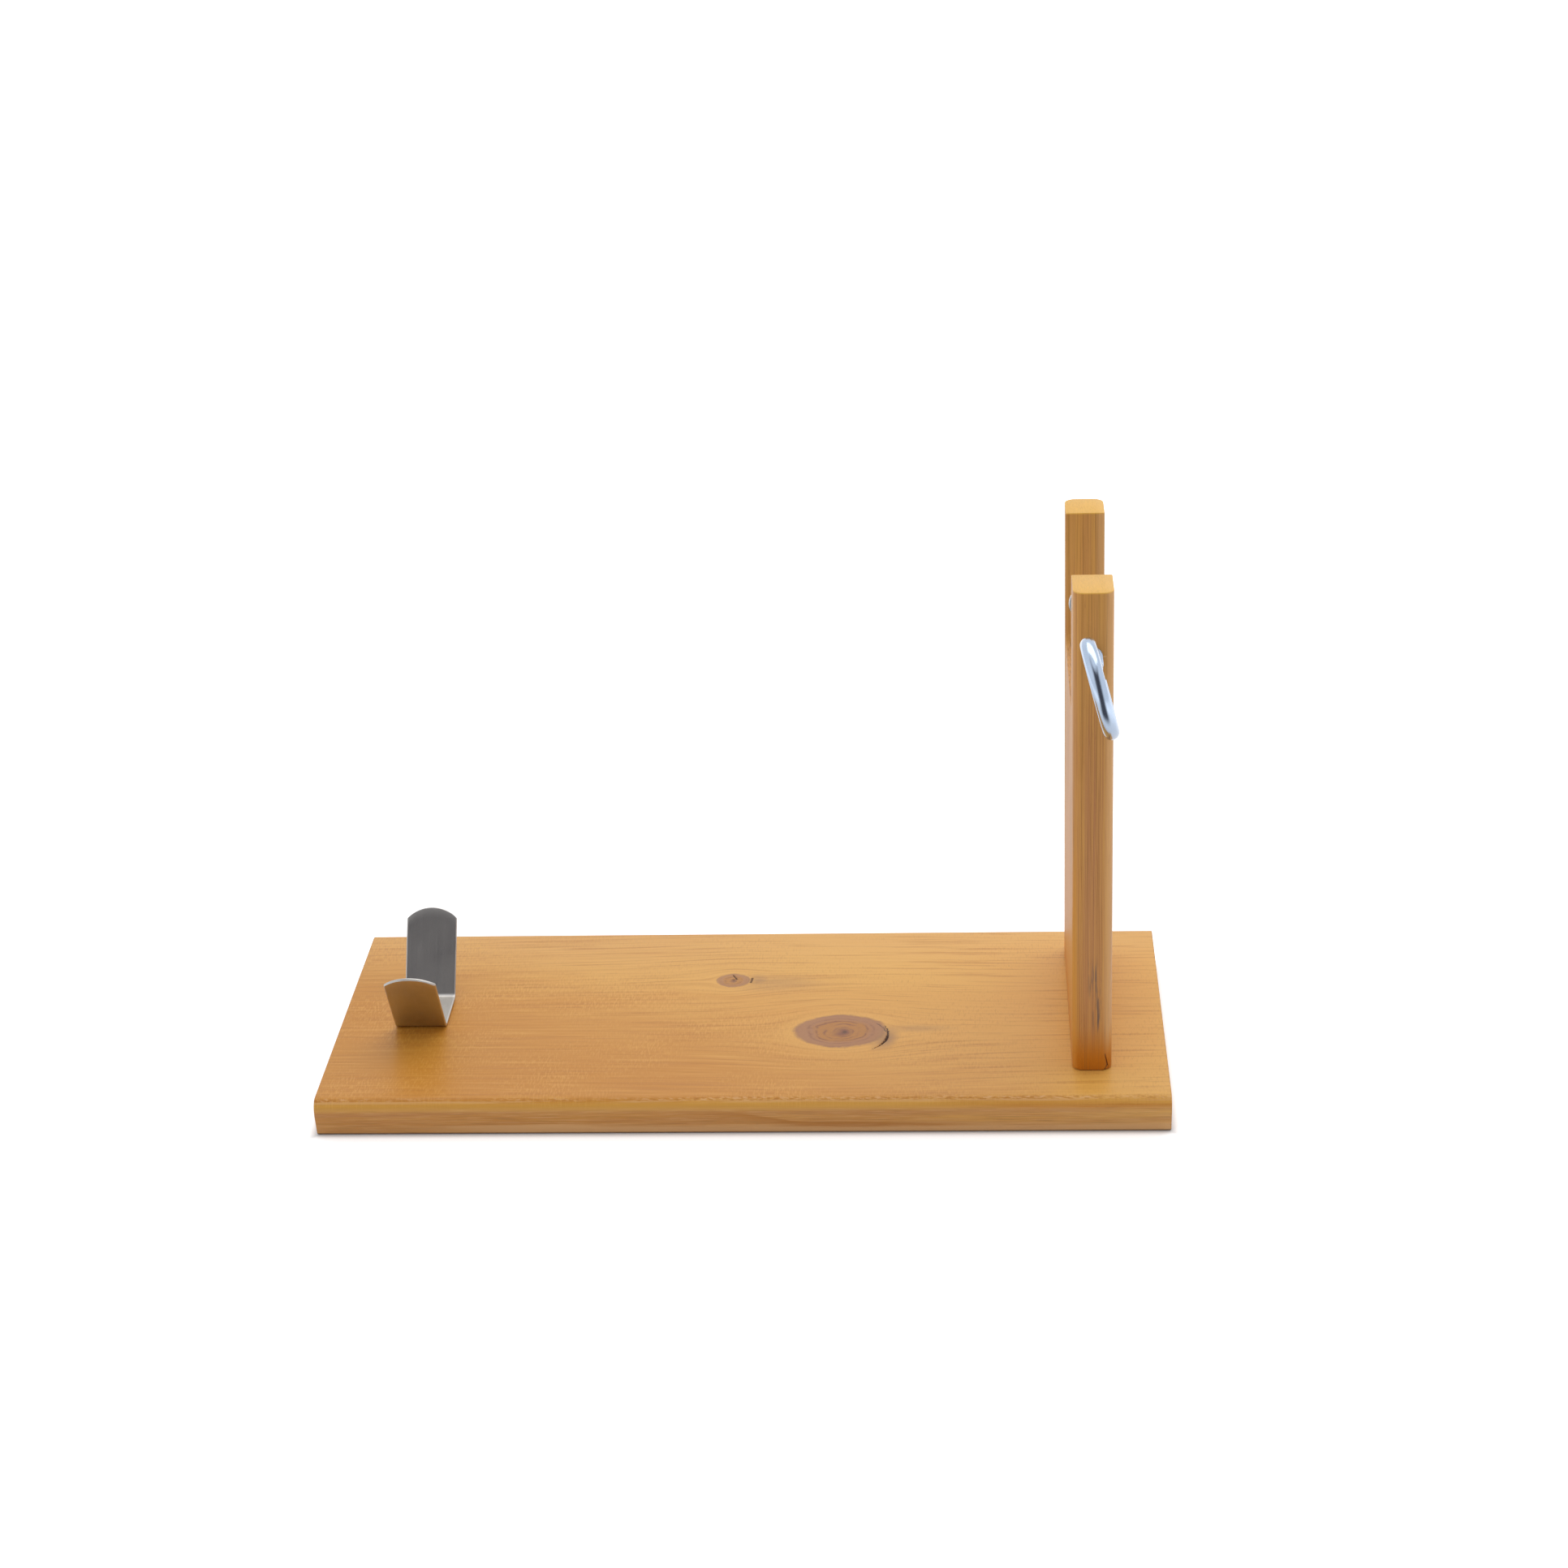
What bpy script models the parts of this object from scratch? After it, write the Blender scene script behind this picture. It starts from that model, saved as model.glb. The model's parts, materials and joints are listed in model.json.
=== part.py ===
"""Ham holder stand.

A pine base board carries a forked upright with an eye-bolt clamp near one end and a bent steel cradle near
the other. Metres, +Z up. The origin is the middle of the base's underside, and +X runs along the base to the
fork.
"""

import math

import bmesh
import bpy
from mathutils import Matrix

# Base board
BASE_LENGTH = 0.400
BASE_WIDTH = 0.184
BASE_THICKNESS = 0.019
BASE_EDGE_RADIUS = 0.005  # rounding of the long top edges
BASE_UNDERCUT_DEPTH = 0.003  # the long sides slope in to the underside
BASE_UNDERCUT_HEIGHT = 0.011

# Forked upright
UPRIGHT_X = 0.1641
UPRIGHT_SET_BACK = 0.0025  # its middle stands behind the middle of the base
UPRIGHT_THICKNESS = 0.0185
UPRIGHT_WIDTH = 0.135
UPRIGHT_HEIGHT = 0.237
UPRIGHT_EDGE_RADIUS = 0.005
FRONT_PRONG = 0.025
REAR_PRONG = 0.022
NOTCH_DEPTH = 0.066
NOTCH_CORNER_RADIUS = 0.008

# Clamp: an M8 eye bolt in a threaded insert, with a swivel pad on its tip
CLAMP_HEIGHT = 0.2075  # screw axis above the top of the base
THREAD_RADIUS = 0.004
WIRE_RADIUS = 0.00355
EYE_RADIUS = 0.0195  # to the middle of the wire
EYE_REACH = 0.041  # middle of the eye in front of the prong
EYE_LEAN = math.radians(14.5)  # lean of the eye's plane from the vertical
EYE_SWAY = 0.045  # how far the eye bends off the screw's axis, for each unit of its length
EYE_END = math.radians(-169)  # where the cut end of the wire stops, just short of the neck
NECK_RADIUS = 0.008  # bend from the shank into the eye
SHANK_LENGTH = 0.0794  # from the neck to the middle of the ball tip
THREAD_START = 0.002  # plain wire between the neck and the thread
EYE_SOCKET = 0.012  # how far the wire runs on inside the thread
BALL_RADIUS = 0.003
BALL_NECK_RADIUS = 0.002
BALL_STAND_OFF = 0.003  # end of the thread to the middle of the ball
THREAD_CHAMFER = 0.0007
INSERT_RADIUS = 0.006
INSERT_LENGTH = 0.018
INSERT_FLANGE_RADIUS = 0.008
INSERT_FLANGE = 0.0015
INSERT_KEY = 0.0095  # hexagon across flats
INSERT_KEY_DEPTH = 0.004
INSERT_CHAMFER = 0.0008
PAD_RADIUS = 0.009
PAD_COLLAR_RADIUS = 0.0055
PAD_FACE = 0.006  # pressing face beyond the middle of the ball
PAD_MOUTH = 0.002  # lip of the socket behind the middle of the ball
PAD_RIM = 0.0022
PAD_ROUND = 0.001
PAD_FLARE = 0.001  # slope from the rim to the collar

# Cradle strip
CRADLE_X = -0.160
CRADLE_WIDTH = 0.025
CRADLE_THICKNESS = 0.0015
CRADLE_FOLD = 0.016  # fold line from the middle of the strip
CRADLE_FOLD_RADIUS = 0.0045  # on the underside
CRADLE_SLOPE = math.radians(56)  # rise of the flaps
CRADLE_FLAP = 0.040  # fold line to the corners of a flap
CRADLE_CROWN = 0.0055  # how far the rounded end stands beyond the corners
CRADLE_SCREW_Y = 0.0075

# Wood screws
UPRIGHT_SCREW_Y = (-0.044, 0.0, 0.044)  # from the middle of the upright
UPRIGHT_SCREW_LENGTH = 0.058
UPRIGHT_SCREW_RADIUS = 0.0025
UPRIGHT_SCREW_HEAD = 0.00475
UPRIGHT_SCREW_SUNK = 0.0005
UPRIGHT_SCREW_RIM = 0.0004  # straight edge of the head
UPRIGHT_SCREW_CORE = 0.00225  # radius of the threaded part
UPRIGHT_SCREW_PLAIN = 0.026  # head's face to the thread
UPRIGHT_SCREW_STEP = 0.0005  # slope from the plain shank to the thread
UPRIGHT_SCREW_POINT = 0.007
CRADLE_SCREW_LENGTH = 0.015
CRADLE_SCREW_RADIUS = 0.002
CRADLE_SCREW_HEAD = 0.004
CRADLE_SCREW_HEAD_HEIGHT = 0.0026
CRADLE_SCREW_POINT = 0.0045

SEAT_GAP = 0.0003  # between pieces that touch
CUT_PAST = 0.004  # how far a cutter runs past the surface that it opens
TURN_STEPS = 32
CORNER_STEPS = 6
BALL_STEPS = 9
EYE_STEPS = 44
PAD_EDGE_STEPS = 4
SMOOTH_BELOW = math.radians(25)  # edges flatter than this are shaded smooth
WELD = 0.00001
ACROSS = Matrix(((0, 0, 1), (1, 0, 0), (0, 1, 0))).to_euler()  # turns X, Y, Z of an outline to Y, Z, X

PINE = (0.57, 0.30, 0.085)
PINE_UPRIGHT = (0.55, 0.27, 0.07)
STAINLESS = (0.56, 0.55, 0.53)
BRIGHT_STEEL = (0.78, 0.79, 0.81)
ZINC = (0.62, 0.62, 0.60)
BRASS = (0.72, 0.53, 0.22)

# Places that follow from the sizes
UPRIGHT_FRONT = UPRIGHT_SET_BACK - UPRIGHT_WIDTH / 2
UPRIGHT_REAR = UPRIGHT_SET_BACK + UPRIGHT_WIDTH / 2
UPRIGHT_FOOT = BASE_THICKNESS + SEAT_GAP
UPRIGHT_TOP = UPRIGHT_FOOT + UPRIGHT_HEIGHT
NOTCH_FRONT = UPRIGHT_FRONT + FRONT_PRONG
NOTCH_REAR = UPRIGHT_REAR - REAR_PRONG
NOTCH_FLOOR = UPRIGHT_TOP - NOTCH_DEPTH
CLAMP_Z = BASE_THICKNESS + CLAMP_HEIGHT
EYE_NECK = math.sqrt(EYE_RADIUS**2 + 2 * EYE_RADIUS * NECK_RADIUS)  # neck to the middle of the eye
BALL_Y = UPRIGHT_FRONT - EYE_REACH + EYE_NECK + SHANK_LENGTH
CRADLE_FOOT = BASE_THICKNESS + SEAT_GAP
CRADLE_SCREW_SEAT = CRADLE_FOOT + CRADLE_THICKNESS + SEAT_GAP


def new_collection(name):
    collection = bpy.data.collections.new(name)
    bpy.context.scene.collection.children.link(collection)
    return collection


def finish(name, colour, roughness, metallic):
    """A plain Principled material."""
    material = bpy.data.materials.new(name)
    material.use_nodes = True
    shader = material.node_tree.nodes["Principled BSDF"]
    shader.inputs["Base Color"].default_value = (*colour, 1)
    shader.inputs["Roughness"].default_value = roughness
    shader.inputs["Metallic"].default_value = metallic
    return material


def add_object(name, mesh, collection, location=(0, 0, 0), rotation=(0, 0, 0), parent=None):
    obj = bpy.data.objects.new(name, mesh)
    obj.location = location
    obj.rotation_euler = rotation
    obj.parent = parent
    collection.objects.link(obj)
    return obj


def part(name, mesh, material, **place):
    mesh.materials.append(material)
    return add_object(name, mesh, PARTS, **place)


def cutter(name, mesh, **place):
    obj = add_object(name, mesh, CUTTERS, **place)
    obj.hide_render = True
    obj.display_type = "WIRE"
    return obj


def boolean(obj, other, operation="DIFFERENCE"):
    modifier = obj.modifiers.new(f"{operation.lower()} {other.name}", "BOOLEAN")
    modifier.operation = operation
    modifier.object = other


def arc(centre, radius, start, end, steps=CORNER_STEPS):
    """Points of an arc, both ends included, from one angle to the other."""
    angles = [start + (end - start) * i / steps for i in range(steps + 1)]
    return [(centre[0] + radius * math.cos(a), centre[1] + radius * math.sin(a)) for a in angles]


def curve_mesh(name, curve):
    """The mesh of a curve, with its caps welded on."""
    helper = bpy.data.objects.new(name, curve)
    bpy.context.scene.collection.objects.link(helper)
    graph = bpy.context.evaluated_depsgraph_get()
    mesh = bpy.data.meshes.new_from_object(helper.evaluated_get(graph))
    bpy.data.objects.remove(helper)
    bm = bmesh.new()
    bm.from_mesh(mesh)
    bmesh.ops.remove_doubles(bm, verts=bm.verts, dist=WELD)
    bmesh.ops.recalc_face_normals(bm, faces=bm.faces)
    bm.to_mesh(mesh)
    bm.free()
    mesh.name = name
    return mesh


def spline_points(curve, points, closed):
    spline = curve.splines.new("POLY")
    spline.points.add(len(points) - 1)
    for spot, point in zip(spline.points, points):
        spot.co = (*point, *[0] * (3 - len(point)), 1)
    spline.use_cyclic_u = closed


def board(name, outline, depth):
    """A flat outline in XY, as thick as depth about its own plane."""
    curve = bpy.data.curves.new(name, "CURVE")
    curve.dimensions = "2D"
    curve.fill_mode = "BOTH"
    curve.extrude = depth / 2
    spline_points(curve, outline, closed=True)
    mesh = curve_mesh(name, curve)
    mesh.shade_smooth()
    mesh.set_sharp_from_angle(angle=SMOOTH_BELOW)
    return mesh


def wire(name, path, radius):
    """A round wire along a path, with flat ends."""
    curve = bpy.data.curves.new(name, "CURVE")
    curve.dimensions = "3D"
    curve.bevel_depth = radius
    curve.bevel_resolution = 6
    curve.use_fill_caps = True
    spline_points(curve, path, closed=False)
    return curve_mesh(name, curve)


def profile_mesh(name, profile, closed):
    """A chain of edges in XZ, radius against height, for turning about Z."""
    bm = bmesh.new()
    corners = [bm.verts.new((radius, 0, height)) for radius, height in profile]
    for start, end in zip(corners, corners[1:] + corners[:1] * closed):
        bm.edges.new((start, end))
    mesh = bpy.data.meshes.new(name)
    bm.to_mesh(mesh)
    bm.free()
    return mesh


def turn(obj):
    """Turns the object's profile about its Z axis."""
    screw = obj.modifiers.new("turn", "SCREW")
    screw.axis = "Z"
    screw.steps = screw.render_steps = TURN_STEPS
    screw.use_merge_vertices = True
    screw.merge_threshold = WELD
    return obj


def cylinder_mesh(name, radius, length, sides=TURN_STEPS):
    """A cylinder or prism on Z, centred on its length."""
    bm = bmesh.new()
    bmesh.ops.create_cone(
        bm, cap_ends=True, segments=sides, radius1=radius, radius2=radius, depth=length
    )
    mesh = bpy.data.meshes.new(name)
    bm.to_mesh(mesh)
    bm.free()
    return mesh


def base_section():
    """Section of the base across its length: Y against Z, anticlockwise from the underside."""
    half, top, radius = BASE_WIDTH / 2, BASE_THICKNESS, BASE_EDGE_RADIUS
    right = [(half - BASE_UNDERCUT_DEPTH, 0), (half, BASE_UNDERCUT_HEIGHT)]
    right += arc((half - radius, top - radius), radius, 0, math.pi / 2)
    return right + [(-y, z) for y, z in reversed(right)]


def upright_plan():
    """Plan of the upright: a board with all four upright edges rounded."""
    x, y, radius = UPRIGHT_THICKNESS / 2, UPRIGHT_WIDTH / 2, UPRIGHT_EDGE_RADIUS
    quarter = math.pi / 2
    corners = [(x, y), (-x, y), (-x, -y), (x, -y)]
    outline = []
    for i, (cx, cy) in enumerate(corners):
        centre = (cx - math.copysign(radius, cx), cy - math.copysign(radius, cy))
        outline += arc(centre, radius, i * quarter, (i + 1) * quarter)
    return outline


def notch_outline():
    """Notch between the prongs, Y against Z, open past the top."""
    radius, floor = NOTCH_CORNER_RADIUS, NOTCH_FLOOR
    outline = [(NOTCH_REAR, UPRIGHT_TOP + CUT_PAST), (NOTCH_FRONT, UPRIGHT_TOP + CUT_PAST)]
    outline += arc((NOTCH_FRONT + radius, floor + radius), radius, math.pi, 1.5 * math.pi)
    outline += arc((NOTCH_REAR - radius, floor + radius), radius, 1.5 * math.pi, 2 * math.pi)
    return outline


def countersunk_screw(clearance=0.0):
    """Profile of an upright's screw, head at the bottom, or of its hole with a clearance round it."""
    length, shank, head = UPRIGHT_SCREW_LENGTH, UPRIGHT_SCREW_RADIUS, UPRIGHT_SCREW_HEAD
    core, rim, thread = UPRIGHT_SCREW_CORE, UPRIGHT_SCREW_RIM, UPRIGHT_SCREW_PLAIN
    below = -CUT_PAST if clearance else 0.0
    outline = [(core, length - UPRIGHT_SCREW_POINT), (core, thread), (shank, thread - UPRIGHT_SCREW_STEP)]
    outline += [(shank, rim + head - shank), (head, rim), (head, below)]
    grown = [(radius + clearance, height) for radius, height in outline]
    return [(0, length + clearance), *grown, (0, below)]


def pan_head_screw():
    """Profile of a cradle screw, pointing down, its head above zero."""
    crown = arc((0, 0), 1, math.pi / 2, 0)
    head = [(CRADLE_SCREW_HEAD * c, CRADLE_SCREW_HEAD_HEIGHT * s) for c, s in crown]
    shank, length = CRADLE_SCREW_RADIUS, CRADLE_SCREW_LENGTH
    return head + [(shank, 0), (shank, CRADLE_SCREW_POINT - length), (0, -length)]


def pan_head_hole():
    """Profile of the hole for a cradle screw, from above its head."""
    radius, length = CRADLE_SCREW_RADIUS + SEAT_GAP, CRADLE_SCREW_LENGTH + SEAT_GAP
    return [(0, CUT_PAST), (radius, CUT_PAST), (radius, CRADLE_SCREW_POINT - length), (0, -length)]


def eye_path():
    """Middle of the wire: along the shank, round the neck into the eye and nearly back to the neck."""
    away = -(SHANK_LENGTH + EYE_NECK)  # middle of the eye along the screw
    bend = math.atan2(NECK_RADIUS, EYE_NECK)
    neck = arc((-EYE_NECK, NECK_RADIUS), NECK_RADIUS, -math.pi / 2, -bend)
    loop = arc((0, 0), EYE_RADIUS, math.pi - bend, EYE_END, EYE_STEPS)
    buried = (-EYE_NECK - EYE_SOCKET, 0)
    path = [buried, *neck, *loop[1:]]
    return [(side, EYE_SWAY * max(along + EYE_NECK, 0), away - along) for along, side in path]


def clamp_rod():
    """Profile of the threaded shank and its ball tip; the ball is at zero and the eye below."""
    start, end, chamfer = THREAD_START - SHANK_LENGTH, -BALL_STAND_OFF, THREAD_CHAMFER
    foot = math.asin(BALL_NECK_RADIUS / BALL_RADIUS)
    ball = arc((0, 0), BALL_RADIUS, math.pi / 2, foot - math.pi / 2, BALL_STEPS)
    rod = [(BALL_NECK_RADIUS, end), (THREAD_RADIUS - chamfer, end), (THREAD_RADIUS, end - chamfer)]
    rod += [(THREAD_RADIUS, start + chamfer), (THREAD_RADIUS - chamfer, start), (0, start)]
    return [(0, BALL_RADIUS), *ball[1:], *rod]


def insert_section():
    """Closed section of the threaded insert; zero is the face of the prong that its flange seats on."""
    bore, chamfer = THREAD_RADIUS + SEAT_GAP, INSERT_CHAMFER
    top, seat, end = SEAT_GAP + INSERT_FLANGE, SEAT_GAP, -INSERT_LENGTH
    outside = [(INSERT_FLANGE_RADIUS, top), (INSERT_FLANGE_RADIUS, seat), (INSERT_RADIUS, seat)]
    outside += [(INSERT_RADIUS, end + chamfer), (INSERT_RADIUS - chamfer, end)]
    return outside + [(bore, end), (bore, top)]


def pad_profile():
    """Profile of the swivel pad about the ball: pressing face, rim, collar, then up into the socket."""
    socket = BALL_RADIUS + SEAT_GAP
    lip = math.asin(PAD_MOUTH / socket)
    edge = arc((PAD_RADIUS - PAD_ROUND, PAD_FACE - PAD_ROUND), PAD_ROUND, math.pi / 2, 0, PAD_EDGE_STEPS)
    flare = PAD_FACE - PAD_RIM
    outside = [(PAD_RADIUS, flare), (PAD_COLLAR_RADIUS, flare - PAD_FLARE), (PAD_COLLAR_RADIUS, -PAD_MOUTH)]
    inside = arc((0, 0), socket, -lip, math.pi / 2, BALL_STEPS)
    return [(0, PAD_FACE), *edge, *outside, *inside[:-1], (0, socket)]


def folded(station):
    """Place (Y, Z) on the underside of the cradle strip, at a distance along it from its middle."""
    radius, slope = CRADLE_FOLD_RADIUS, CRADLE_SLOPE
    flat = CRADLE_FOLD - radius * math.tan(slope / 2)
    if station <= flat:
        return station, 0.0
    angle = min((station - flat) / radius, slope)
    past = station - flat - radius * angle
    y = flat + radius * math.sin(angle) + past * math.cos(slope)
    return y, radius * (1 - math.cos(angle)) + past * math.sin(slope)


def cradle_mesh(name):
    """The strip's underside: a flat blank with rounded ends, folded up at both sides."""
    columns, bend_rows = 15, 6
    half, radius = CRADLE_WIDTH / 2, CRADLE_FOLD_RADIUS
    shorter = radius * math.tan(CRADLE_SLOPE / 2)
    flat, bent = CRADLE_FOLD - shorter, radius * CRADLE_SLOPE
    end_radius = (half**2 + CRADLE_CROWN**2) / (2 * CRADLE_CROWN)
    rows = bend_rows + 2  # the flat, the bend and the flap, from the middle out
    bm = bmesh.new()
    bmesh.ops.create_grid(bm, x_segments=columns, y_segments=2 * rows, size=1)
    for vert in bm.verts:
        x, row = half * vert.co.x, round(abs(vert.co.y) * rows)
        crown = math.sqrt(end_radius**2 - x**2) - math.sqrt(end_radius**2 - half**2)
        if row == 0:
            station = 0.0
        elif row < rows:
            station = flat + bent * (row - 1) / bend_rows
        else:
            station = flat + bent + CRADLE_FLAP - shorter + crown
        y, z = folded(station)
        vert.co = (x, math.copysign(y, vert.co.y), z)
    mesh = bpy.data.meshes.new(name)
    bm.to_mesh(mesh)
    bm.free()
    return mesh


def build_base():
    mesh = board("base_board", base_section(), BASE_LENGTH)
    return part("base_board", mesh, finish("pine base", PINE, 0.42, 0.0), rotation=ACROSS)


def build_upright(base):
    middle = (UPRIGHT_X, UPRIGHT_SET_BACK, UPRIGHT_FOOT + UPRIGHT_HEIGHT / 2)
    mesh = board("fork_upright", upright_plan(), UPRIGHT_HEIGHT)
    pine = finish("pine upright", PINE_UPRIGHT, 0.40, 0.0)
    upright = part("fork_upright", mesh, pine, location=middle)
    notch = board("notch", notch_outline(), UPRIGHT_THICKNESS + 2 * CUT_PAST)
    boolean(upright, cutter("notch", notch, location=(UPRIGHT_X, 0, 0), rotation=ACROSS))
    for place, offset in zip(("front", "middle", "rear"), UPRIGHT_SCREW_Y):
        head = (UPRIGHT_X, UPRIGHT_SET_BACK + offset, UPRIGHT_SCREW_SUNK)
        name = f"upright_screw_{place}"
        mesh = profile_mesh(name, countersunk_screw(), closed=False)
        turn(part(name, mesh, finish(f"{place} wood screw", ZINC, 0.35, 1.0), location=head))
        mesh = profile_mesh(f"{name}_hole", countersunk_screw(SEAT_GAP), closed=False)
        hole = turn(cutter(f"{name}_hole", mesh, location=head))
        boolean(base, hole)
        boolean(upright, hole)
    return upright


def build_clamp(upright):
    """Eye bolt, insert and pad share an axis through the front prong; its Z runs from the eye to the pad."""
    axis = add_object("clamp_axis", None, PARTS, (UPRIGHT_X, BALL_Y, CLAMP_Z), (-math.pi / 2, 0, 0))
    turned_by = (0, 0, -math.pi / 2 - EYE_LEAN)
    bright = finish("bright eye bolt", BRIGHT_STEEL, 0.16, 1.0)
    mesh = profile_mesh("clamp_screw", clamp_rod(), closed=False)
    screw = turn(part("clamp_screw", mesh, bright, rotation=turned_by, parent=axis))
    eye = cutter("eye", wire("eye", eye_path(), WIRE_RADIUS), rotation=turned_by, parent=axis)
    boolean(screw, eye, "UNION")

    mesh = profile_mesh("pressure_pad", pad_profile(), closed=False)
    turn(part("pressure_pad", mesh, finish("pad steel", ZINC, 0.3, 1.0), parent=axis))

    seat = (0, 0, NOTCH_FRONT - BALL_Y)
    mesh = profile_mesh("threaded_insert", insert_section(), closed=True)
    brass = finish("brass", BRASS, 0.35, 1.0)
    insert = turn(part("threaded_insert", mesh, brass, location=seat, parent=axis))
    key = cylinder_mesh("key", INSERT_KEY / math.sqrt(3), 2 * INSERT_KEY_DEPTH, sides=6)
    key_top = (0, 0, seat[2] + SEAT_GAP + INSERT_FLANGE)
    boolean(insert, cutter("key", key, location=key_top, parent=axis))

    bore = cylinder_mesh("bore", THREAD_RADIUS + SEAT_GAP, FRONT_PRONG + 2 * CUT_PAST)
    bore_middle = (0, 0, seat[2] - FRONT_PRONG / 2)
    boolean(upright, cutter("bore", bore, location=bore_middle, parent=axis))
    seat_length = INSERT_LENGTH + SEAT_GAP + CUT_PAST
    pocket = cylinder_mesh("pocket", INSERT_RADIUS + SEAT_GAP, seat_length)
    pocket_middle = (0, 0, seat[2] + CUT_PAST - seat_length / 2)
    boolean(upright, cutter("pocket", pocket, location=pocket_middle, parent=axis))


def build_cradle(base):
    steel = finish("stainless strip", STAINLESS, 0.28, 1.0)
    strip = part("cradle_strip", cradle_mesh("cradle_strip"), steel, location=(CRADLE_X, 0, CRADLE_FOOT))
    plate = strip.modifiers.new("plate", "SOLIDIFY")
    plate.thickness = CRADLE_THICKNESS
    plate.offset = 1
    plate.use_even_offset = True
    for place, y in (("front", -CRADLE_SCREW_Y), ("rear", CRADLE_SCREW_Y)):
        seat = (CRADLE_X, y, CRADLE_SCREW_SEAT)
        name = f"cradle_screw_{place}"
        mesh = profile_mesh(name, pan_head_screw(), closed=False)
        turn(part(name, mesh, finish(f"{place} pan head", ZINC, 0.3, 1.0), location=seat))
        mesh = profile_mesh(f"{name}_hole", pan_head_hole(), closed=False)
        hole = turn(cutter(f"{name}_hole", mesh, location=seat))
        boolean(base, hole)
        boolean(strip, hole)


for old in list(bpy.data.objects):
    bpy.data.objects.remove(old, do_unlink=True)
PARTS = new_collection("Ham holder stand")
CUTTERS = new_collection("Cutters")
BASE = build_base()
UPRIGHT = build_upright(BASE)
build_clamp(UPRIGHT)
build_cradle(BASE)
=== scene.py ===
"""Looks of the carving stand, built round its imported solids.

Metres, +Z up. +X runs along the base to the fork, and the eye of the clamp is on the -Y side.
"""

import json
import math

import bmesh
import bpy
import numpy as np
from mathutils import Matrix, Vector


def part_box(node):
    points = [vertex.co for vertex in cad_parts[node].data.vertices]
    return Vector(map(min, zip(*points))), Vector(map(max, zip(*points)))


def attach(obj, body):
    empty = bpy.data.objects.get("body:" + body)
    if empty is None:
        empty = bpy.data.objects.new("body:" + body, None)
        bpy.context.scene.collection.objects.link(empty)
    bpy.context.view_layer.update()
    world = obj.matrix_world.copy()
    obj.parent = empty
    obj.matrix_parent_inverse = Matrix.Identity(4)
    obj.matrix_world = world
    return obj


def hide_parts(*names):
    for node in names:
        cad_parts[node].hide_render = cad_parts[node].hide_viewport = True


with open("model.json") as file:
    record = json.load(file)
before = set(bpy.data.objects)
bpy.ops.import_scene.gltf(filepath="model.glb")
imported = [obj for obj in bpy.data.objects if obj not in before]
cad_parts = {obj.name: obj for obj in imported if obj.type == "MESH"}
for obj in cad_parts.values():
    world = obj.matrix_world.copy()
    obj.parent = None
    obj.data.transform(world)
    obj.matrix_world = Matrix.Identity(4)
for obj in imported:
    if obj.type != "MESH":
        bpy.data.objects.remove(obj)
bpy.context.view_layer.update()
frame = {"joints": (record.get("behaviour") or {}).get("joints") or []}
QUARTER = math.pi / 2

# Photograph: a square frame, and the place and turn of the camera that took it
PHOTO_SIDE = 1932
FOCAL_PIXELS = 4179.8
SENSOR_WIDTH = 36.0
CAMERA_PLACE = (0.1108, -1.4848, 0.7606)
CAMERA_PITCH = math.radians(22.673)
CAMERA_YAW = math.radians(3.495)
CAMERA_ROLL = math.radians(-1.957)

# Floor and room
FLOOR_HALF = 6.0
FLOOR_GAP = 0.0001  # keeps the floor clear of the base's underside
FLOOR_WHITE = (0.84, 0.84, 0.84)
ROOM_WHITE = (0.87, 0.89, 0.93)
GAP_COLOUR = (0.080, 0.078, 0.090)
GAP_ASIDE = (0.75, 0.28)  # how far off its middle the dark gap ends and is full
LAMP_SIZE = (1.6, 1.0)
LAMP_COLOUR = (1.0, 0.97, 0.92)
OVERHEAD_LAMP = ((0.30, 0.55, 1.30), 5.6)  # place and power
FILL_LAMP = ((-0.10, -1.30, 1.10), 4.0)

# Base board
BASE_LOW, BASE_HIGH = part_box("base_board")
BASE_TOP = BASE_HIGH.z
BASE_EDGE_RADIUS = 0.005
BASE_UNDERCUT_DEPTH = 0.003
BASE_UNDERCUT_HEIGHT = 0.011
BASE_FOOT_EASING = 0.0012
BASE_END_EASING = 0.0005
FLAT_FACE = 0.999  # how far along an axis the normal of a flat face points

# Knots in the base: middle, half length and half width on the top face
LARGE_KNOT = (0.0441, -0.0223, 0.0218, 0.0172)
SMALL_KNOT = (-0.0108, 0.0340, 0.0082, 0.0075)
KNOT_LEAN = 0.35  # how far a branch drifts along the board for each unit of depth
KNOT_PROUD = 0.0001
# Crack round the end of the large knot: middle and radius of its arc, and the arc's ends
CRACK_CENTRE = (0.0465, -0.0255)
CRACK_RADIUS = 0.0212
CRACK_FROM = math.radians(-56)
CRACK_TO = math.radians(32)
CRACK_WIDEST = math.radians(-16)
CRACK_HALF_WIDTH = 0.00085
CRACK_DEPTH = 0.0011
# Short checks in the small knot, each from one end to the other, with its half width
SMALL_CHECKS = (
    ((-0.0109, 0.0398), (-0.0088, 0.0352), 0.00060),
    ((-0.0088, 0.0352), (-0.0112, 0.0346), 0.00030),
    ((-0.0011, 0.0366), (-0.0017, 0.0318), 0.00085),
)
CHECK_DEPTH = 0.0006
# Pin-head dark flecks on the top face
FLECKS = ((0.1267, 0.0484), (0.1838, -0.0274), (0.0715, 0.0105), (-0.0850, -0.0330))
FLECK_RADIUS = 0.0004
# Brown clouds by the knots, partly smoke in the wood and partly painted shadow: middle, half length, half
# width and strength
KNOT_CLOUDS_AND_SHADE = (
    ((0.082, -0.020), 0.024, 0.006, 1.0),
    ((0.010, 0.030), 0.034, 0.014, 0.9),
    ((0.001, 0.034), 0.011, 0.009, 1.6),
)
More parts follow.
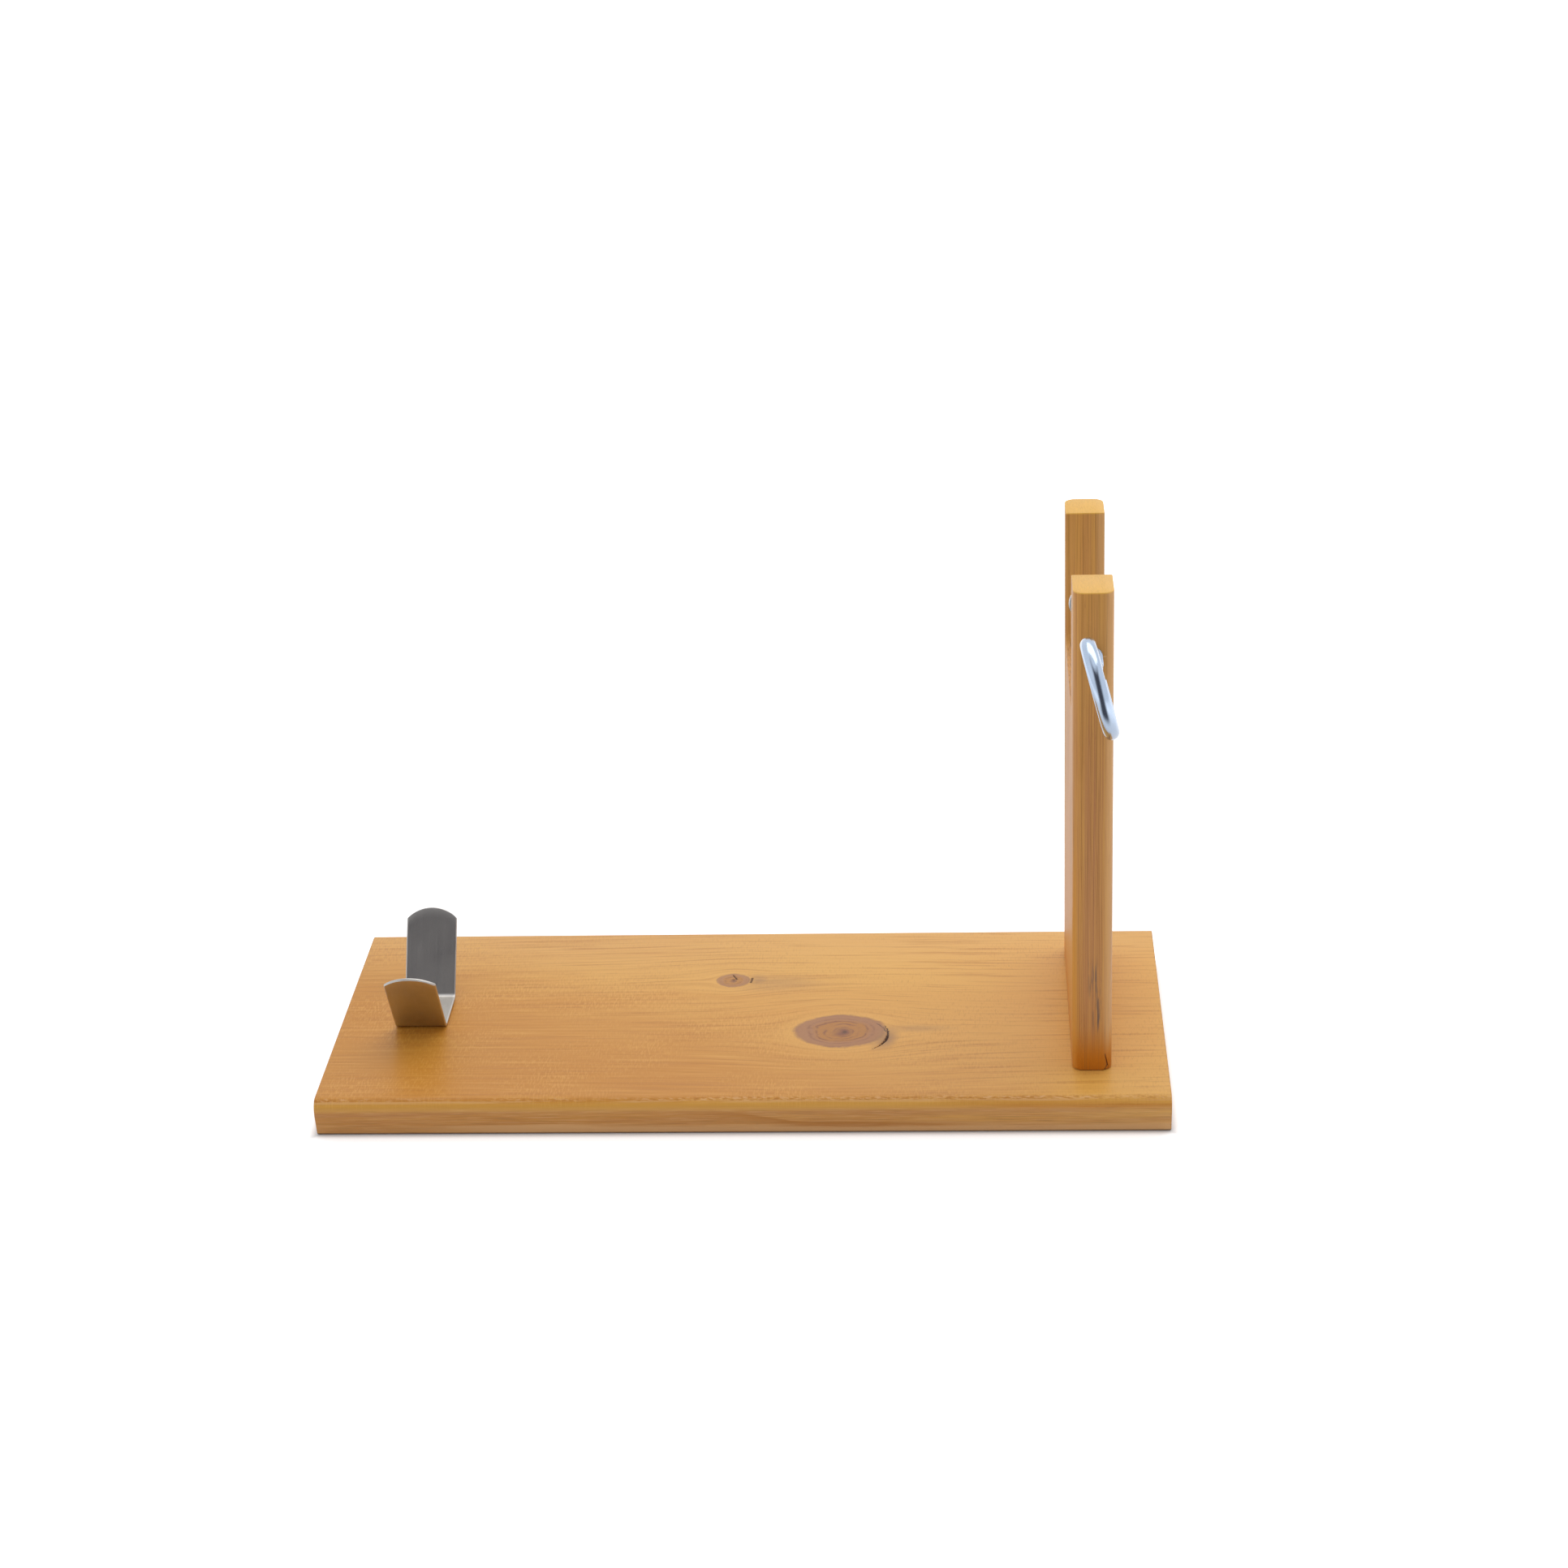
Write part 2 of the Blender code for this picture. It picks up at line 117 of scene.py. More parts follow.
# Marks along the rounded edges, by their depth below the top
TORN_DEPTH = 0.0008
SCRAPED_DEPTH = 0.0016
ROUND_DEPTH = 0.0036
POOLED_DEPTH = 0.0042
# Growth line on the front: its height at the left, and how far it falls
SWEEP_HEIGHT = 0.0124
SWEEP_FALL = 0.0056

# Forked upright
UPRIGHT_LOW, UPRIGHT_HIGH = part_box("fork_upright")
UPRIGHT_MIDDLE = (UPRIGHT_LOW + UPRIGHT_HIGH) / 2
UPRIGHT_EDGE_RADIUS = 0.005
UPRIGHT_EASING = 0.0005
FRONT_PRONG = 0.025
REAR_PRONG = 0.022
NOTCH_DEPTH = 0.066
NOTCH_CORNER_RADIUS = 0.008
UPRIGHT_NICK = (0.1689, 0.2262)  # X and Z of a pale nick beside the clamp's shank
NICK_HALF = (0.0012, 0.0005)
# Chip at the foot of the front edge: in from the edge's corner, its size and its lean
CHIP_IN = Vector((-0.0022, 0.0006, 0.0030))
CHIP_LOW_RADIUS = 0.0016
CHIP_HIGH_RADIUS = 0.0003
CHIP_LENGTH = 0.010
CHIP_LEAN = math.radians(-14)
# Checks beside the chip, each from one X and Z to another, with its half width
FOOT_CHECKS = (
    ((0.1702, 0.0275), (0.1712, 0.0215), 0.00035),
    ((0.1712, 0.0215), (0.1700, 0.0196), 0.00045),
)

# Clamp
CLAMP_JOINT = next(joint for joint in frame["joints"] if joint["name"] == "clamp_turn")
CLAMP_X, _, CLAMP_Z = CLAMP_JOINT["pos_m"]
CLAMP_LOW, CLAMP_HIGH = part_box("clamp_screw")
THREAD_RADIUS = 0.004
THREAD_PITCH = 0.00125
THREAD_DEPTH = 0.00072
THREAD_RUN_OUT = 0.0022
THREAD_PLAY = 0.00006  # between the crests and the hole in the prong
THREAD_START = 0.002
THREAD_CHAMFER = 0.0007
THREAD_RINGS = 9  # to a turn
WIRE_RADIUS = 0.00355
WIRE_END_ROUND = 0.0009
EYE_RADIUS = 0.0195
EYE_LEAN = math.radians(14.5)
EYE_SWAY = 0.045  # how far the eye bends off the screw's axis, for each unit of its length
EYE_END = math.radians(-169)
NECK_RADIUS = 0.008
EYE_NECK = math.sqrt(EYE_RADIUS**2 + 2 * EYE_RADIUS * NECK_RADIUS)
BALL_RADIUS = 0.003
BALL_NECK_RADIUS = 0.002
BALL_STAND_OFF = 0.003
EYE_Y = CLAMP_LOW.y + EYE_RADIUS + WIRE_RADIUS
BALL_Y = CLAMP_HIGH.y - BALL_RADIUS

# Insert and pad
INSERT_LOW, INSERT_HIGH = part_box("threaded_insert")
INSERT_RADIUS = 0.006
INSERT_FLANGE_RADIUS = 0.008
INSERT_FLANGE = 0.0015
INSERT_EASING = 0.0003
INSERT_CHAMFER = 0.0008
INSERT_KEY = 0.0095
INSERT_KEY_DEPTH = 0.004
INSERT_BORE = 0.0043
PAD_LOW, PAD_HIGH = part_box("pressure_pad")
PAD_RADIUS = 0.009
PAD_ROUND = 0.001
PAD_EASING = 0.0003
PAD_RIM = 0.0022
PAD_DISH_RADIUS = 0.0030
PAD_DISH_DEPTH = 0.0004
PAD_COLLAR_RADIUS = 0.0055
PAD_COLLAR_FLARE = 0.0006
PAD_COLLAR_EASING = 0.0004
PAD_MOUTH = 0.002
PAD_SOCKET = 0.0033

# Cradle strip
CRADLE_LOW, CRADLE_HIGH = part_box("cradle_strip")
CRADLE_X = (CRADLE_LOW.x + CRADLE_HIGH.x) / 2
CRADLE_THICKNESS = 0.0015
CRADLE_FOLD = 0.016
CRADLE_FOLD_RADIUS = 0.0045
CRADLE_SLOPE = math.radians(56)
CRADLE_FLAP = 0.040
CRADLE_CROWN = 0.0055
CRADLE_EDGE_ROUND = 0.0005

# Screws
UPRIGHT_SCREWS = ("upright_screw_front", "upright_screw_middle", "upright_screw_rear")
WOOD_HEAD_RADIUS = 0.00475
WOOD_HEAD_RIM = 0.0004
WOOD_HEAD_EASING = 0.0001
WOOD_SHANK_RADIUS = 0.0025
WOOD_CORE_RADIUS = 0.0017
WOOD_PLAIN = 0.026
WOOD_STEP = 0.0005
WOOD_POINT = 0.007
WOOD_THREAD = {"Sides": 32, "Ring Spacing": 0.0003, "Pitch": 0.0024, "Depth": 0.0008, "Run Out": 0.006}
WOOD_RECESS = (0.0024, 0.0026)  # size and depth
CRADLE_SCREWS = ("cradle_screw_front", "cradle_screw_rear")
PAN_HEAD_RADIUS = 0.004
PAN_HEAD_HEIGHT = 0.0026
PAN_SHANK_RADIUS = 0.002
PAN_CORE_RADIUS = 0.0014
PAN_PLAIN = 0.0022
PAN_STEP = 0.0004
PAN_POINT = 0.004
PAN_THREAD = {"Sides": 40, "Ring Spacing": 0.0002, "Pitch": 0.0018, "Depth": 0.0006, "Run Out": 0.003}
PAN_RECESS = (0.0021, 0.0019)
SCREW_TIP_LENGTH = 0.0002
SCREW_TIP_RADIUS = 0.0001
RECESS_FLOOR, RECESS_MOUTH, RECESS_SLIM = 0.5, 1.9, 0.26  # in sizes of the recess
FIRST_TURN, NEXT_TURN = 0.35, 0.9  # how the heads in a row are turned
SCREW_CLEARANCE = 0.0003
HOLE_POINT = 0.004
HOLE_STEPS = 40
CUT_PAST = 0.004
WELD = 0.00001


# Node trees


def by_math(operation):
    """A method of Value that adds a Math node."""
    return lambda self, *others: self.math(operation, *others)


class Value:
    """A number in a node tree. Sums and products of values add Math nodes."""

    def __init__(self, tree, socket):
        self.tree = tree
        self.socket = socket

    def math(self, operation, *others):
        node = self.tree.nodes.new("ShaderNodeMath")
        node.operation = operation
        for slot, value in zip(node.inputs, (self, *others)):
            feed(self.tree, slot, value)
        return Value(self.tree, node.outputs[0])

    __add__ = __radd__ = by_math("ADD")
    __sub__ = by_math("SUBTRACT")
    __mul__ = __rmul__ = by_math("MULTIPLY")
    __truediv__ = by_math("DIVIDE")
    __pow__ = by_math("POWER")
    __abs__ = by_math("ABSOLUTE")
    least = by_math("MINIMUM")
    most = by_math("MAXIMUM")
    root = by_math("SQRT")
    whole = by_math("FLOOR")
    part = by_math("FRACT")

    def __rsub__(self, other):
        return self.math("MULTIPLY_ADD", -1.0, other)

    def rise(self, low, high):
        """0 below low, 1 above high and smooth between them, or a fall where high is the lower."""
        falls = low > high
        limits = {"Value": self, "From Min": min(low, high), "From Max": max(low, high)}
        limits.update({"To Min": float(falls), "To Max": float(not falls)})
        node = add(self.tree, "ShaderNodeMapRange", limits, interpolation_type="SMOOTHSTEP")
        return Value(self.tree, node.outputs["Result"])

    def band(self, middle, outer, inner):
        """1 within inner of a middle and 0 beyond outer."""
        return abs(self - middle).rise(outer, inner)


class Paint:
    """A colour in a node tree, which other colours are laid over."""

    def __init__(self, tree, colour):
        self.tree = tree
        self.colour = colour

    def over(self, share, colour):
        self.colour = blend(self.tree, share, self.colour, colour)


def feed(tree, slot, value):
    """Links a value or socket to an input, or sets the input's own number."""
    if isinstance(value, Value):
        value = value.socket
    if isinstance(value, bpy.types.NodeSocket):
        tree.links.new(value, slot)
    else:
        slot.default_value = value


def feed_all(tree, node, inputs):
    for key, value in inputs.items():
        feed(tree, node.inputs[key], value)


def add(tree, kind, inputs=None, **settings):
    """A new node, with its settings made and its inputs fed."""
    node = tree.nodes.new(kind)
    for key, value in settings.items():
        setattr(node, key, value)
    feed_all(tree, node, inputs or {})
    return node


def distance(first, second):
    return (first * first + second * second).root()


def vector(tree, x=0.0, y=0.0, z=0.0):
    return add(tree, "ShaderNodeCombineXYZ", {"X": x, "Y": y, "Z": z}).outputs[0]


def vector_math(tree, operation, inputs):
    return add(tree, "ShaderNodeVectorMath", inputs, operation=operation).outputs[0]


def noise(place, scales, detail=2.0, roughness=0.5):
    """Smooth noise over a place, each part of it stretched by its own scale."""
    tree = place[0].tree
    stretched = vector(tree, *[part * scale for part, scale in zip(place, scales)])
    inputs = {"Vector": stretched, "Scale": 1.0, "Detail": detail, "Roughness": roughness}
    return Value(tree, add(tree, "ShaderNodeTexNoise", inputs).outputs["Fac"])


def blend(tree, share, first, second):
    """A colour between two others."""
    node = add(tree, "ShaderNodeMix", data_type="RGBA", clamp_factor=True)
    feed(tree, node.inputs[0], share)
    for slot, colour in zip((node.inputs[6], node.inputs[7]), (first, second)):
        feed(tree, slot, (*colour, 1.0) if isinstance(colour, tuple) else colour)
    return node.outputs[2]


def ramp(value, stops):
    """A colour read off straight lines between (place, colour) stops. A number is a grey."""
    node = add(value.tree, "ShaderNodeValToRGB", {"Fac": value})
    points = node.color_ramp.elements
    while len(points) < len(stops):
        points.new(1.0)
    for point, (place, colour) in zip(points, stops):
        point.position = place
        point.color = (*colour, 1.0) if isinstance(colour, tuple) else (colour, colour, colour, 1.0)
    return node.outputs["Color"]


def new_material(name):
    """An empty material: its tree, its shader, and the X, Y and Z of Object coordinates."""
    material = bpy.data.materials.new(name)
    material.use_nodes = True
    tree = material.node_tree
    corner = add(tree, "ShaderNodeTexCoord").outputs["Object"]
    split = add(tree, "ShaderNodeSeparateXYZ", {0: corner})
    return material, tree, tree.nodes["Principled BSDF"], [Value(tree, socket) for socket in split.outputs]


def relief(tree, shader, height, depth, strength):
    inputs = {"Height": height, "Distance": depth, "Strength": strength}
    feed(tree, shader.inputs["Normal"], add(tree, "ShaderNodeBump", inputs).outputs["Normal"])


# Pine

PALE_PINE = (0.790, 0.420, 0.092)
HONEY_PINE = (0.710, 0.330, 0.056)
LATE_WOOD = (0.470, 0.172, 0.020)
AMBER_PINE = (0.570, 0.185, 0.006)
SAP_PINE = (0.840, 0.470, 0.105)
DEEP_PINE = (0.560, 0.218, 0.016)
RUSSET_PINE = (0.420, 0.155, 0.080)
CREAM_PINE = (0.760, 0.430, 0.180)
END_PINE = (0.950, 0.555, 0.085)
FIBRE_BROWN = (0.330, 0.140, 0.030)
KNOT_HEART = (0.150, 0.060, 0.026)
KNOT_RED = (0.480, 0.205, 0.040)
KNOT_DARK = (0.270, 0.100, 0.042)
KNOT_PINK = (0.430, 0.200, 0.082)
KNOT_RIM = (0.330, 0.150, 0.074)
CLOUD_AND_SHADE_BROWN = (0.420, 0.215, 0.080)
CRACK_BROWN = (0.085, 0.036, 0.014)
CHECK_BROWN = (0.110, 0.050, 0.020)
# Colour of the painted contact shadow along the foot of the base
FOOT_SHADOW_BROWN = (0.090, 0.045, 0.020)
BLUE_STAIN = (0.150, 0.105, 0.080)

# How dark a year of growth is, from its pale start to its dark end
YEAR_STOPS = ((0.0, 0.0), (0.30, 0.10), (0.70, 0.60), (0.86, 1.0), (0.96, 0.45), (1.0, 0.0))
KNOT_YEAR_STOPS = ((0.0, 0.0), (0.45, 0.05), (0.75, 1.0), (1.0, 0.0))
# Colours of a knot from its heart out
KNOT_STOPS = (
    (0.0, KNOT_HEART), (0.030, KNOT_HEART), (0.08, KNOT_DARK), (0.26, KNOT_RED), (0.54, KNOT_RED),
    (0.70, KNOT_PINK), (0.90, KNOT_PINK), (1.0, KNOT_RIM),
)
GRAIN_DEPTH = 0.00014


def growth_rings(place, heart, lean, ring):
    """How dark the late wood is at a place along, across and through a board.

    It comes from the distance to the heart of the tree, which leans off the grain.
    """
    along, across, through = place
    slow = noise(place, (4.0, 9.0, 9.0))
    sideways = across - heart[0] - along * lean[0] + (slow - 0.5) * 0.014
    deep = through - heart[1] - along * lean[1]
    ragged = noise(place, (45.0, 300.0, 300.0), 3.0)
    out = distance(sideways, deep)
    years = (out + (ragged - 0.5) * 0.0006) / ring
    years = years + noise((years,), (0.31,), 1.0) * 2.4
    late = Value(along.tree, ramp(years.part(), YEAR_STOPS))
    dice = add(along.tree, "ShaderNodeTexWhiteNoise", {"W": years.whole()}, noise_dimensions="1D")
    strong = Value(along.tree, dice.outputs["Value"])
    flat_sawn = abs(sideways) / out
    broken = noise(place, (14.0, 70.0, 70.0)).rise(0.22, 0.62)
    return late * (strong * 0.7 + 0.3) * (flat_sawn * 0.7 + 0.3) * (broken * 0.7 + 0.3)


def clear_pine(place, late, late_share):
    """Paint of clear pine: drift of tone, late wood, fibres and resin ducts. Also gives the fibres."""
    paint = Paint(place[0].tree, HONEY_PINE)
    paint.over(noise(place, (5.0, 26.0, 26.0), 3.0).rise(0.30, 0.66), PALE_PINE)
    paint.over(late * late_share, LATE_WOOD)
    fibre = noise(place, (38.0, 1500.0, 1500.0), 3.0, 0.6)
    paint.over(fibre.rise(0.42, 0.85) * 0.22, FIBRE_BROWN)
    ducts = noise(place, (170.0, 2100.0, 2100.0), 1.0)
    paint.over(ducts.rise(0.70, 0.78) * 0.40, FIBRE_BROWN)
    return paint, fibre


def varnish(shader, paint, fibre, late, height):
    """Paint under thin satin varnish, duller on the fibres and the late wood."""
    feed_all(paint.tree, shader, {
        "Base Color": paint.colour, "Roughness": fibre * 0.14 + late * 0.06 + 0.37,
        "Specular IOR Level": 0.38, "Coat Weight": 0.07, "Coat Roughness": 0.25,
    })
    relief(paint.tree, shader, height, GRAIN_DEPTH, 0.5)


def near_line(x, y, start, end):
    """Distance from a place to the line between two points."""
    run = (end[0] - start[0], end[1] - start[1])
    length = run[0] ** 2 + run[1] ** 2
    share = ((x - start[0]) * run[0] + (y - start[1]) * run[1]) / length
    share = share.most(0.0).least(1.0)
    return distance(x - start[0] - share * run[0], y - start[1] - share * run[1])


def paint_checks(paint, x, y, checks, ragged, where):
    for start, end, half_width in checks:
        off = near_line(x, y, start, end) + ragged
        paint.over(off.rise(half_width, half_width * 0.3) * where * 0.85, CHECK_BROWN)


def knot_place(place, knot):
    """Place in a knot along and across the board, in half lengths and half widths of the knot."""
    x, y, z = place
    middle_x, middle_y, half_length, half_width = knot
    first = (x - middle_x + (z - BASE_TOP) * KNOT_LEAN) / half_length
    return first, (y - middle_y) / half_width


def paint_knot(paint, place, knot, years, off_centre, depth):
    """Paints a knot: a pale halo, a pinkish rim, and rings about a heart that is off centre."""
    first, second = knot_place(place, knot)
    inside = (first, second, place[2])
    wander = noise(inside, (1.3, 1.3, 60.0)) - 0.5
    fine = noise(inside, (8.0, 8.0, 200.0), 3.0, 0.6)
    edge = distance(first, second) + (0.0 - first).most(0.0) * abs(second) * 0.12 + wander * 0.16
    inward = (1.0 - edge).most(0.0)
    out = distance(first - inward * off_centre, second + inward * 0.06) + wander * inward * 0.9
    rings = Value(paint.tree, ramp((out * years + fine * 0.5).part(), KNOT_YEAR_STOPS))
    rings = rings * noise(inside, (3.0, 3.0, 60.0)).rise(0.30, 0.65)
    body = Paint(paint.tree, ramp(out, KNOT_STOPS))
    body.over(rings * out.rise(0.95, 0.60) * 0.95 + fine.rise(0.48, 0.80) * 0.20, KNOT_DARK)
    spokes = noise((second.math("ARCTAN2", first), out), (9.0, 0.8))
    body.over(spokes.rise(0.56, 0.72) * 0.35, KNOT_PINK)
    halo = edge.rise(1.55, 1.02) * edge.rise(0.95, 1.08)
    paint.over(halo * 0.45, PALE_PINE)
    paint.over((edge + (fine - 0.5) * 0.15).rise(1.09, 0.93) * depth, body.colour)


def crack_place(x, y):
    """How far a place is off the ragged arc of the crack, and off a strand beside it.

    Between them it gives how wide the crack is there, from 0 to 1.
    """
    sideways, forward = x - CRACK_CENTRE[0], y - CRACK_CENTRE[1]
    angle = forward.math("ARCTAN2", sideways)
    ragged = noise((x, y), (520.0, 520.0), 3.0, 0.6) - 0.5
    taper = angle.rise(CRACK_FROM, CRACK_WIDEST) * angle.rise(CRACK_TO, CRACK_WIDEST)
    off = distance(sideways, forward) - CRACK_RADIUS + ragged * 0.0023
    beyond = angle.rise(0.10, -0.05) * 0.01 + angle.rise(0.60, 0.75) * 0.01
    return abs(off), taper, abs(off + angle * 0.0030 + 0.0005) + beyond


def patch(x, y, middle, half_length, half_width):
    """A soft oval patch, 1 in its middle and 0 at its edge."""
    return distance((x - middle[0]) / half_length, (y - middle[1]) / half_width).rise(1.0, 0.1)


def grain_round_knots(place):
    """Place in the base with the grain bent round its knots."""
    x, bent, z = place
    for knot in (LARGE_KNOT, SMALL_KNOT):
        first, second = knot_place(place, knot)
        reach = first * first + second * second
        bent = bent - second * (knot[3] * 1.15) / (reach + 0.35)
    return x, bent, z


def paint_sides(paint, place, side, streaks, waves):
    """Streaks and fine hairs on the sides of the base, and one growth line that sweeps down the front."""
    x, y, z = place
    hairs = noise(place, (50.0, 500.0, 2200.0), 3.0, 0.6)
    paint.over(side * waves.rise(0.30, 0.70) * 0.36, RUSSET_PINE)
    paint.over(side * streaks.rise(0.50, 0.68) * 0.40, LATE_WOOD)
    paint.over(side * hairs.rise(0.55, 0.66) * 0.48, FIBRE_BROWN)
    paint.over(side * (hairs.rise(0.48, 0.36) * 0.40 + 0.18), CREAM_PINE)
    under_line = SWEEP_HEIGHT - x.rise(-0.006, 0.034) * SWEEP_FALL + (waves - 0.5) * 0.0012 - z
    sweep = under_line.rise(0.0, 0.0006) * under_line.rise(0.0050, 0.0008)
    sweep = sweep * x.rise(-0.030, 0.005) * x.rise(0.150, 0.080)
    paint.over(sweep * side * y.rise(0.0, -0.01) * 0.62, LATE_WOOD)


def paint_ends_and_top(paint, place, late, side, streaks, waves):
    """End grain, planing marks and brown clouds on the top, the clouds partly painted shadow, and a pale band
    at the foot of the long sides, partly painted light bounced up from the floor.
    """
    x, y, z = place
    end = abs(x).rise(BASE_HIGH.x - 0.0008, BASE_HIGH.x - 0.0003)
    paint.over(end * 0.30, DEEP_PINE)
    paint.over(end * late * 0.90, FIBRE_BROWN)
    planing = noise((x, y), (1300.0, 240.0))
    worked = noise((x, y), (14.0, 24.0)).rise(0.30, 0.70) * (1.0 - side)
    paint.over(planing.rise(0.48, 0.66) * worked * 0.45, PALE_PINE)
    paint.over(planing.rise(0.50, 0.30) * worked * 0.26, LATE_WOOD)
    # A pale band low on the long sides: painted light bounced up from the floor, with a wavy upper edge that
    # follows the grain
    pale_foot_grain_and_bounce = (z + (waves - 0.5) * 0.009).rise(0.0060, 0.0035) * z.rise(0.0002, 0.0010)
    pale_foot_grain_and_bounce = pale_foot_grain_and_bounce * (1.0 - end) * (x.rise(-0.17, -0.10) * 0.8 + 0.2)
    paint.over(side * pale_foot_grain_and_bounce * 0.90, CREAM_PINE)
    # Brown clouds by the knots: partly smoke in the wood, partly painted shadow
    smoke_and_shade, *others = [patch(x, y, *oval) * strength for *oval, strength in KNOT_CLOUDS_AND_SHADE]
    for other in others:
        smoke_and_shade = smoke_and_shade.most(other)
    paint.over(smoke_and_shade * (streaks * 0.6 + 0.10), CLOUD_AND_SHADE_BROWN)


def paint_torn_edges(paint, place, streaks):
    """Grain that the cutter tore where the long edges are rounded, over darker varnish. Gives the tears."""
    x, y, z = place
    right = x.rise(0.06, 0.16)
    shoulder = abs(y).rise(BASE_HIGH.y - BASE_EDGE_RADIUS - 0.001, BASE_HIGH.y - BASE_EDGE_RADIUS)
    worn = noise((x, y), (11.0, 3.0)).rise(0.25, 0.62)
    torn = noise((x * 420.0 + z * 700.0, z, y), (1.0, 3000.0, 40.0))
    torn_band = z.band(BASE_TOP - TORN_DEPTH, 0.0008, 0.0002) * shoulder * worn
    torn_out = torn.rise(0.48, 0.66) * torn_band
    scraped = z.band(BASE_TOP - SCRAPED_DEPTH, 0.0007, 0.0002) * shoulder
    paint.over(scraped * streaks.rise(0.40, 0.56) * 0.60, CREAM_PINE)
    pooled = z.band(BASE_TOP - POOLED_DEPTH, 0.0010, 0.0002) * shoulder * (right * 0.7 + 0.3)
    paint.over(pooled * (streaks.rise(0.36, 0.60) * 0.40 + 0.10), AMBER_PINE)
    low_round = z.band(BASE_TOP - ROUND_DEPTH, 0.0030, 0.0008) * shoulder
    paint.over(low_round * (1.0 - right) * 0.45, SAP_PINE)
    paint.over(low_round * right * 0.30, AMBER_PINE)
    paint.over(torn_out * 0.75, LATE_WOOD)
    paint.over(torn.rise(0.50, 0.34) * torn_band * 0.80, CREAM_PINE)
    return torn_out


def paint_marks(paint, place):
    """Knots, the crack, checks and flecks, and a painted contact shadow round the foot."""
    x, y, z = place
    paint_knot(paint, place, LARGE_KNOT, 6.0, 0.16, 1.0)
    paint_knot(paint, place, SMALL_KNOT, 3.0, 0.10, 0.85)
    off, taper, strand = crack_place(x, y)
    on_top = z.rise(BASE_TOP - 0.004, BASE_TOP - 0.002)
    paint.over(off.rise(0.0075, 0.0004) * taper * on_top, CLOUD_AND_SHADE_BROWN)
    dark = (1.0 - off / (taper * CRACK_HALF_WIDTH + 0.00008)).rise(0.0, 0.5) * taper.rise(0.02, 0.10)
    for middle in FLECKS:
        dark = dark.most(distance(x - middle[0], y - middle[1]).rise(FLECK_RADIUS, 0.0) * 0.7)
    dark = dark.most(strand.rise(0.00045, 0.00010) * 0.75)
    paint.over(dark * on_top, CRACK_BROWN)
    splinters = noise((x, y), (800.0, 800.0), 3.0, 0.6)
    paint_checks(paint, x, y, SMALL_CHECKS, (splinters - 0.5) * 0.0014, on_top)
    # Painted contact shadow: a thin dark line round the foot, where the base meets the floor
    rim = (abs(x) - BASE_HIGH.x + 0.0010).most(abs(y) - BASE_HIGH.y + BASE_UNDERCUT_DEPTH + 0.0008)
    paint.over(rim.rise(0.0, 0.0006) * z.rise(0.0014, 0.0005) * 0.75, FOOT_SHADOW_BROWN)


def base_pine():
    material, _, shader, place = new_material("base_pine")
    x, y, z = place
    grown = grain_round_knots(place)
    late = growth_rings(grown, heart=(-0.030, -0.085), lean=(0.012, 0.020), ring=0.0021)
    side = z.rise(BASE_TOP - 0.0025, BASE_TOP - 0.0055)
    paint, fibre = clear_pine(grown, late, side * 0.35 + 0.60)
    # Painted light and shade on the top: deeper and more orange towards the front left, partly the wood's own
    # tone and partly painted shade; paler towards the right and the back, painted light
    paint.over((y * -1.0 - x * 0.5).rise(-0.03, 0.10) * 0.80, DEEP_PINE)
    paint.over((x + y * 1.2).rise(0.02, 0.14) * (1.0 - side * 0.7) * 0.75, SAP_PINE)
    paint.over(y.rise(0.03, 0.09) * 0.30, CREAM_PINE)
    grain = noise(grown, (15.0, 420.0, 420.0), 5.0, 0.65)
    paint.over(grain.rise(0.50, 0.66) * 0.46, LATE_WOOD)
    paint.over(grain.rise(0.47, 0.34) * 0.35, PALE_PINE)
    streaks = noise(place, (20.0, 300.0, 900.0), 4.0, 0.6)
    waves = noise(place, (9.0, 40.0, 260.0), 3.0, 0.6)
    paint_sides(paint, place, side, streaks, waves)
    paint_ends_and_top(paint, place, late, side, streaks, waves)
    torn_out = paint_torn_edges(paint, place, streaks)
    paint_marks(paint, place)
    varnish(shader, paint, fibre, late, fibre * 0.6 + late * 0.4 - torn_out)
    return material


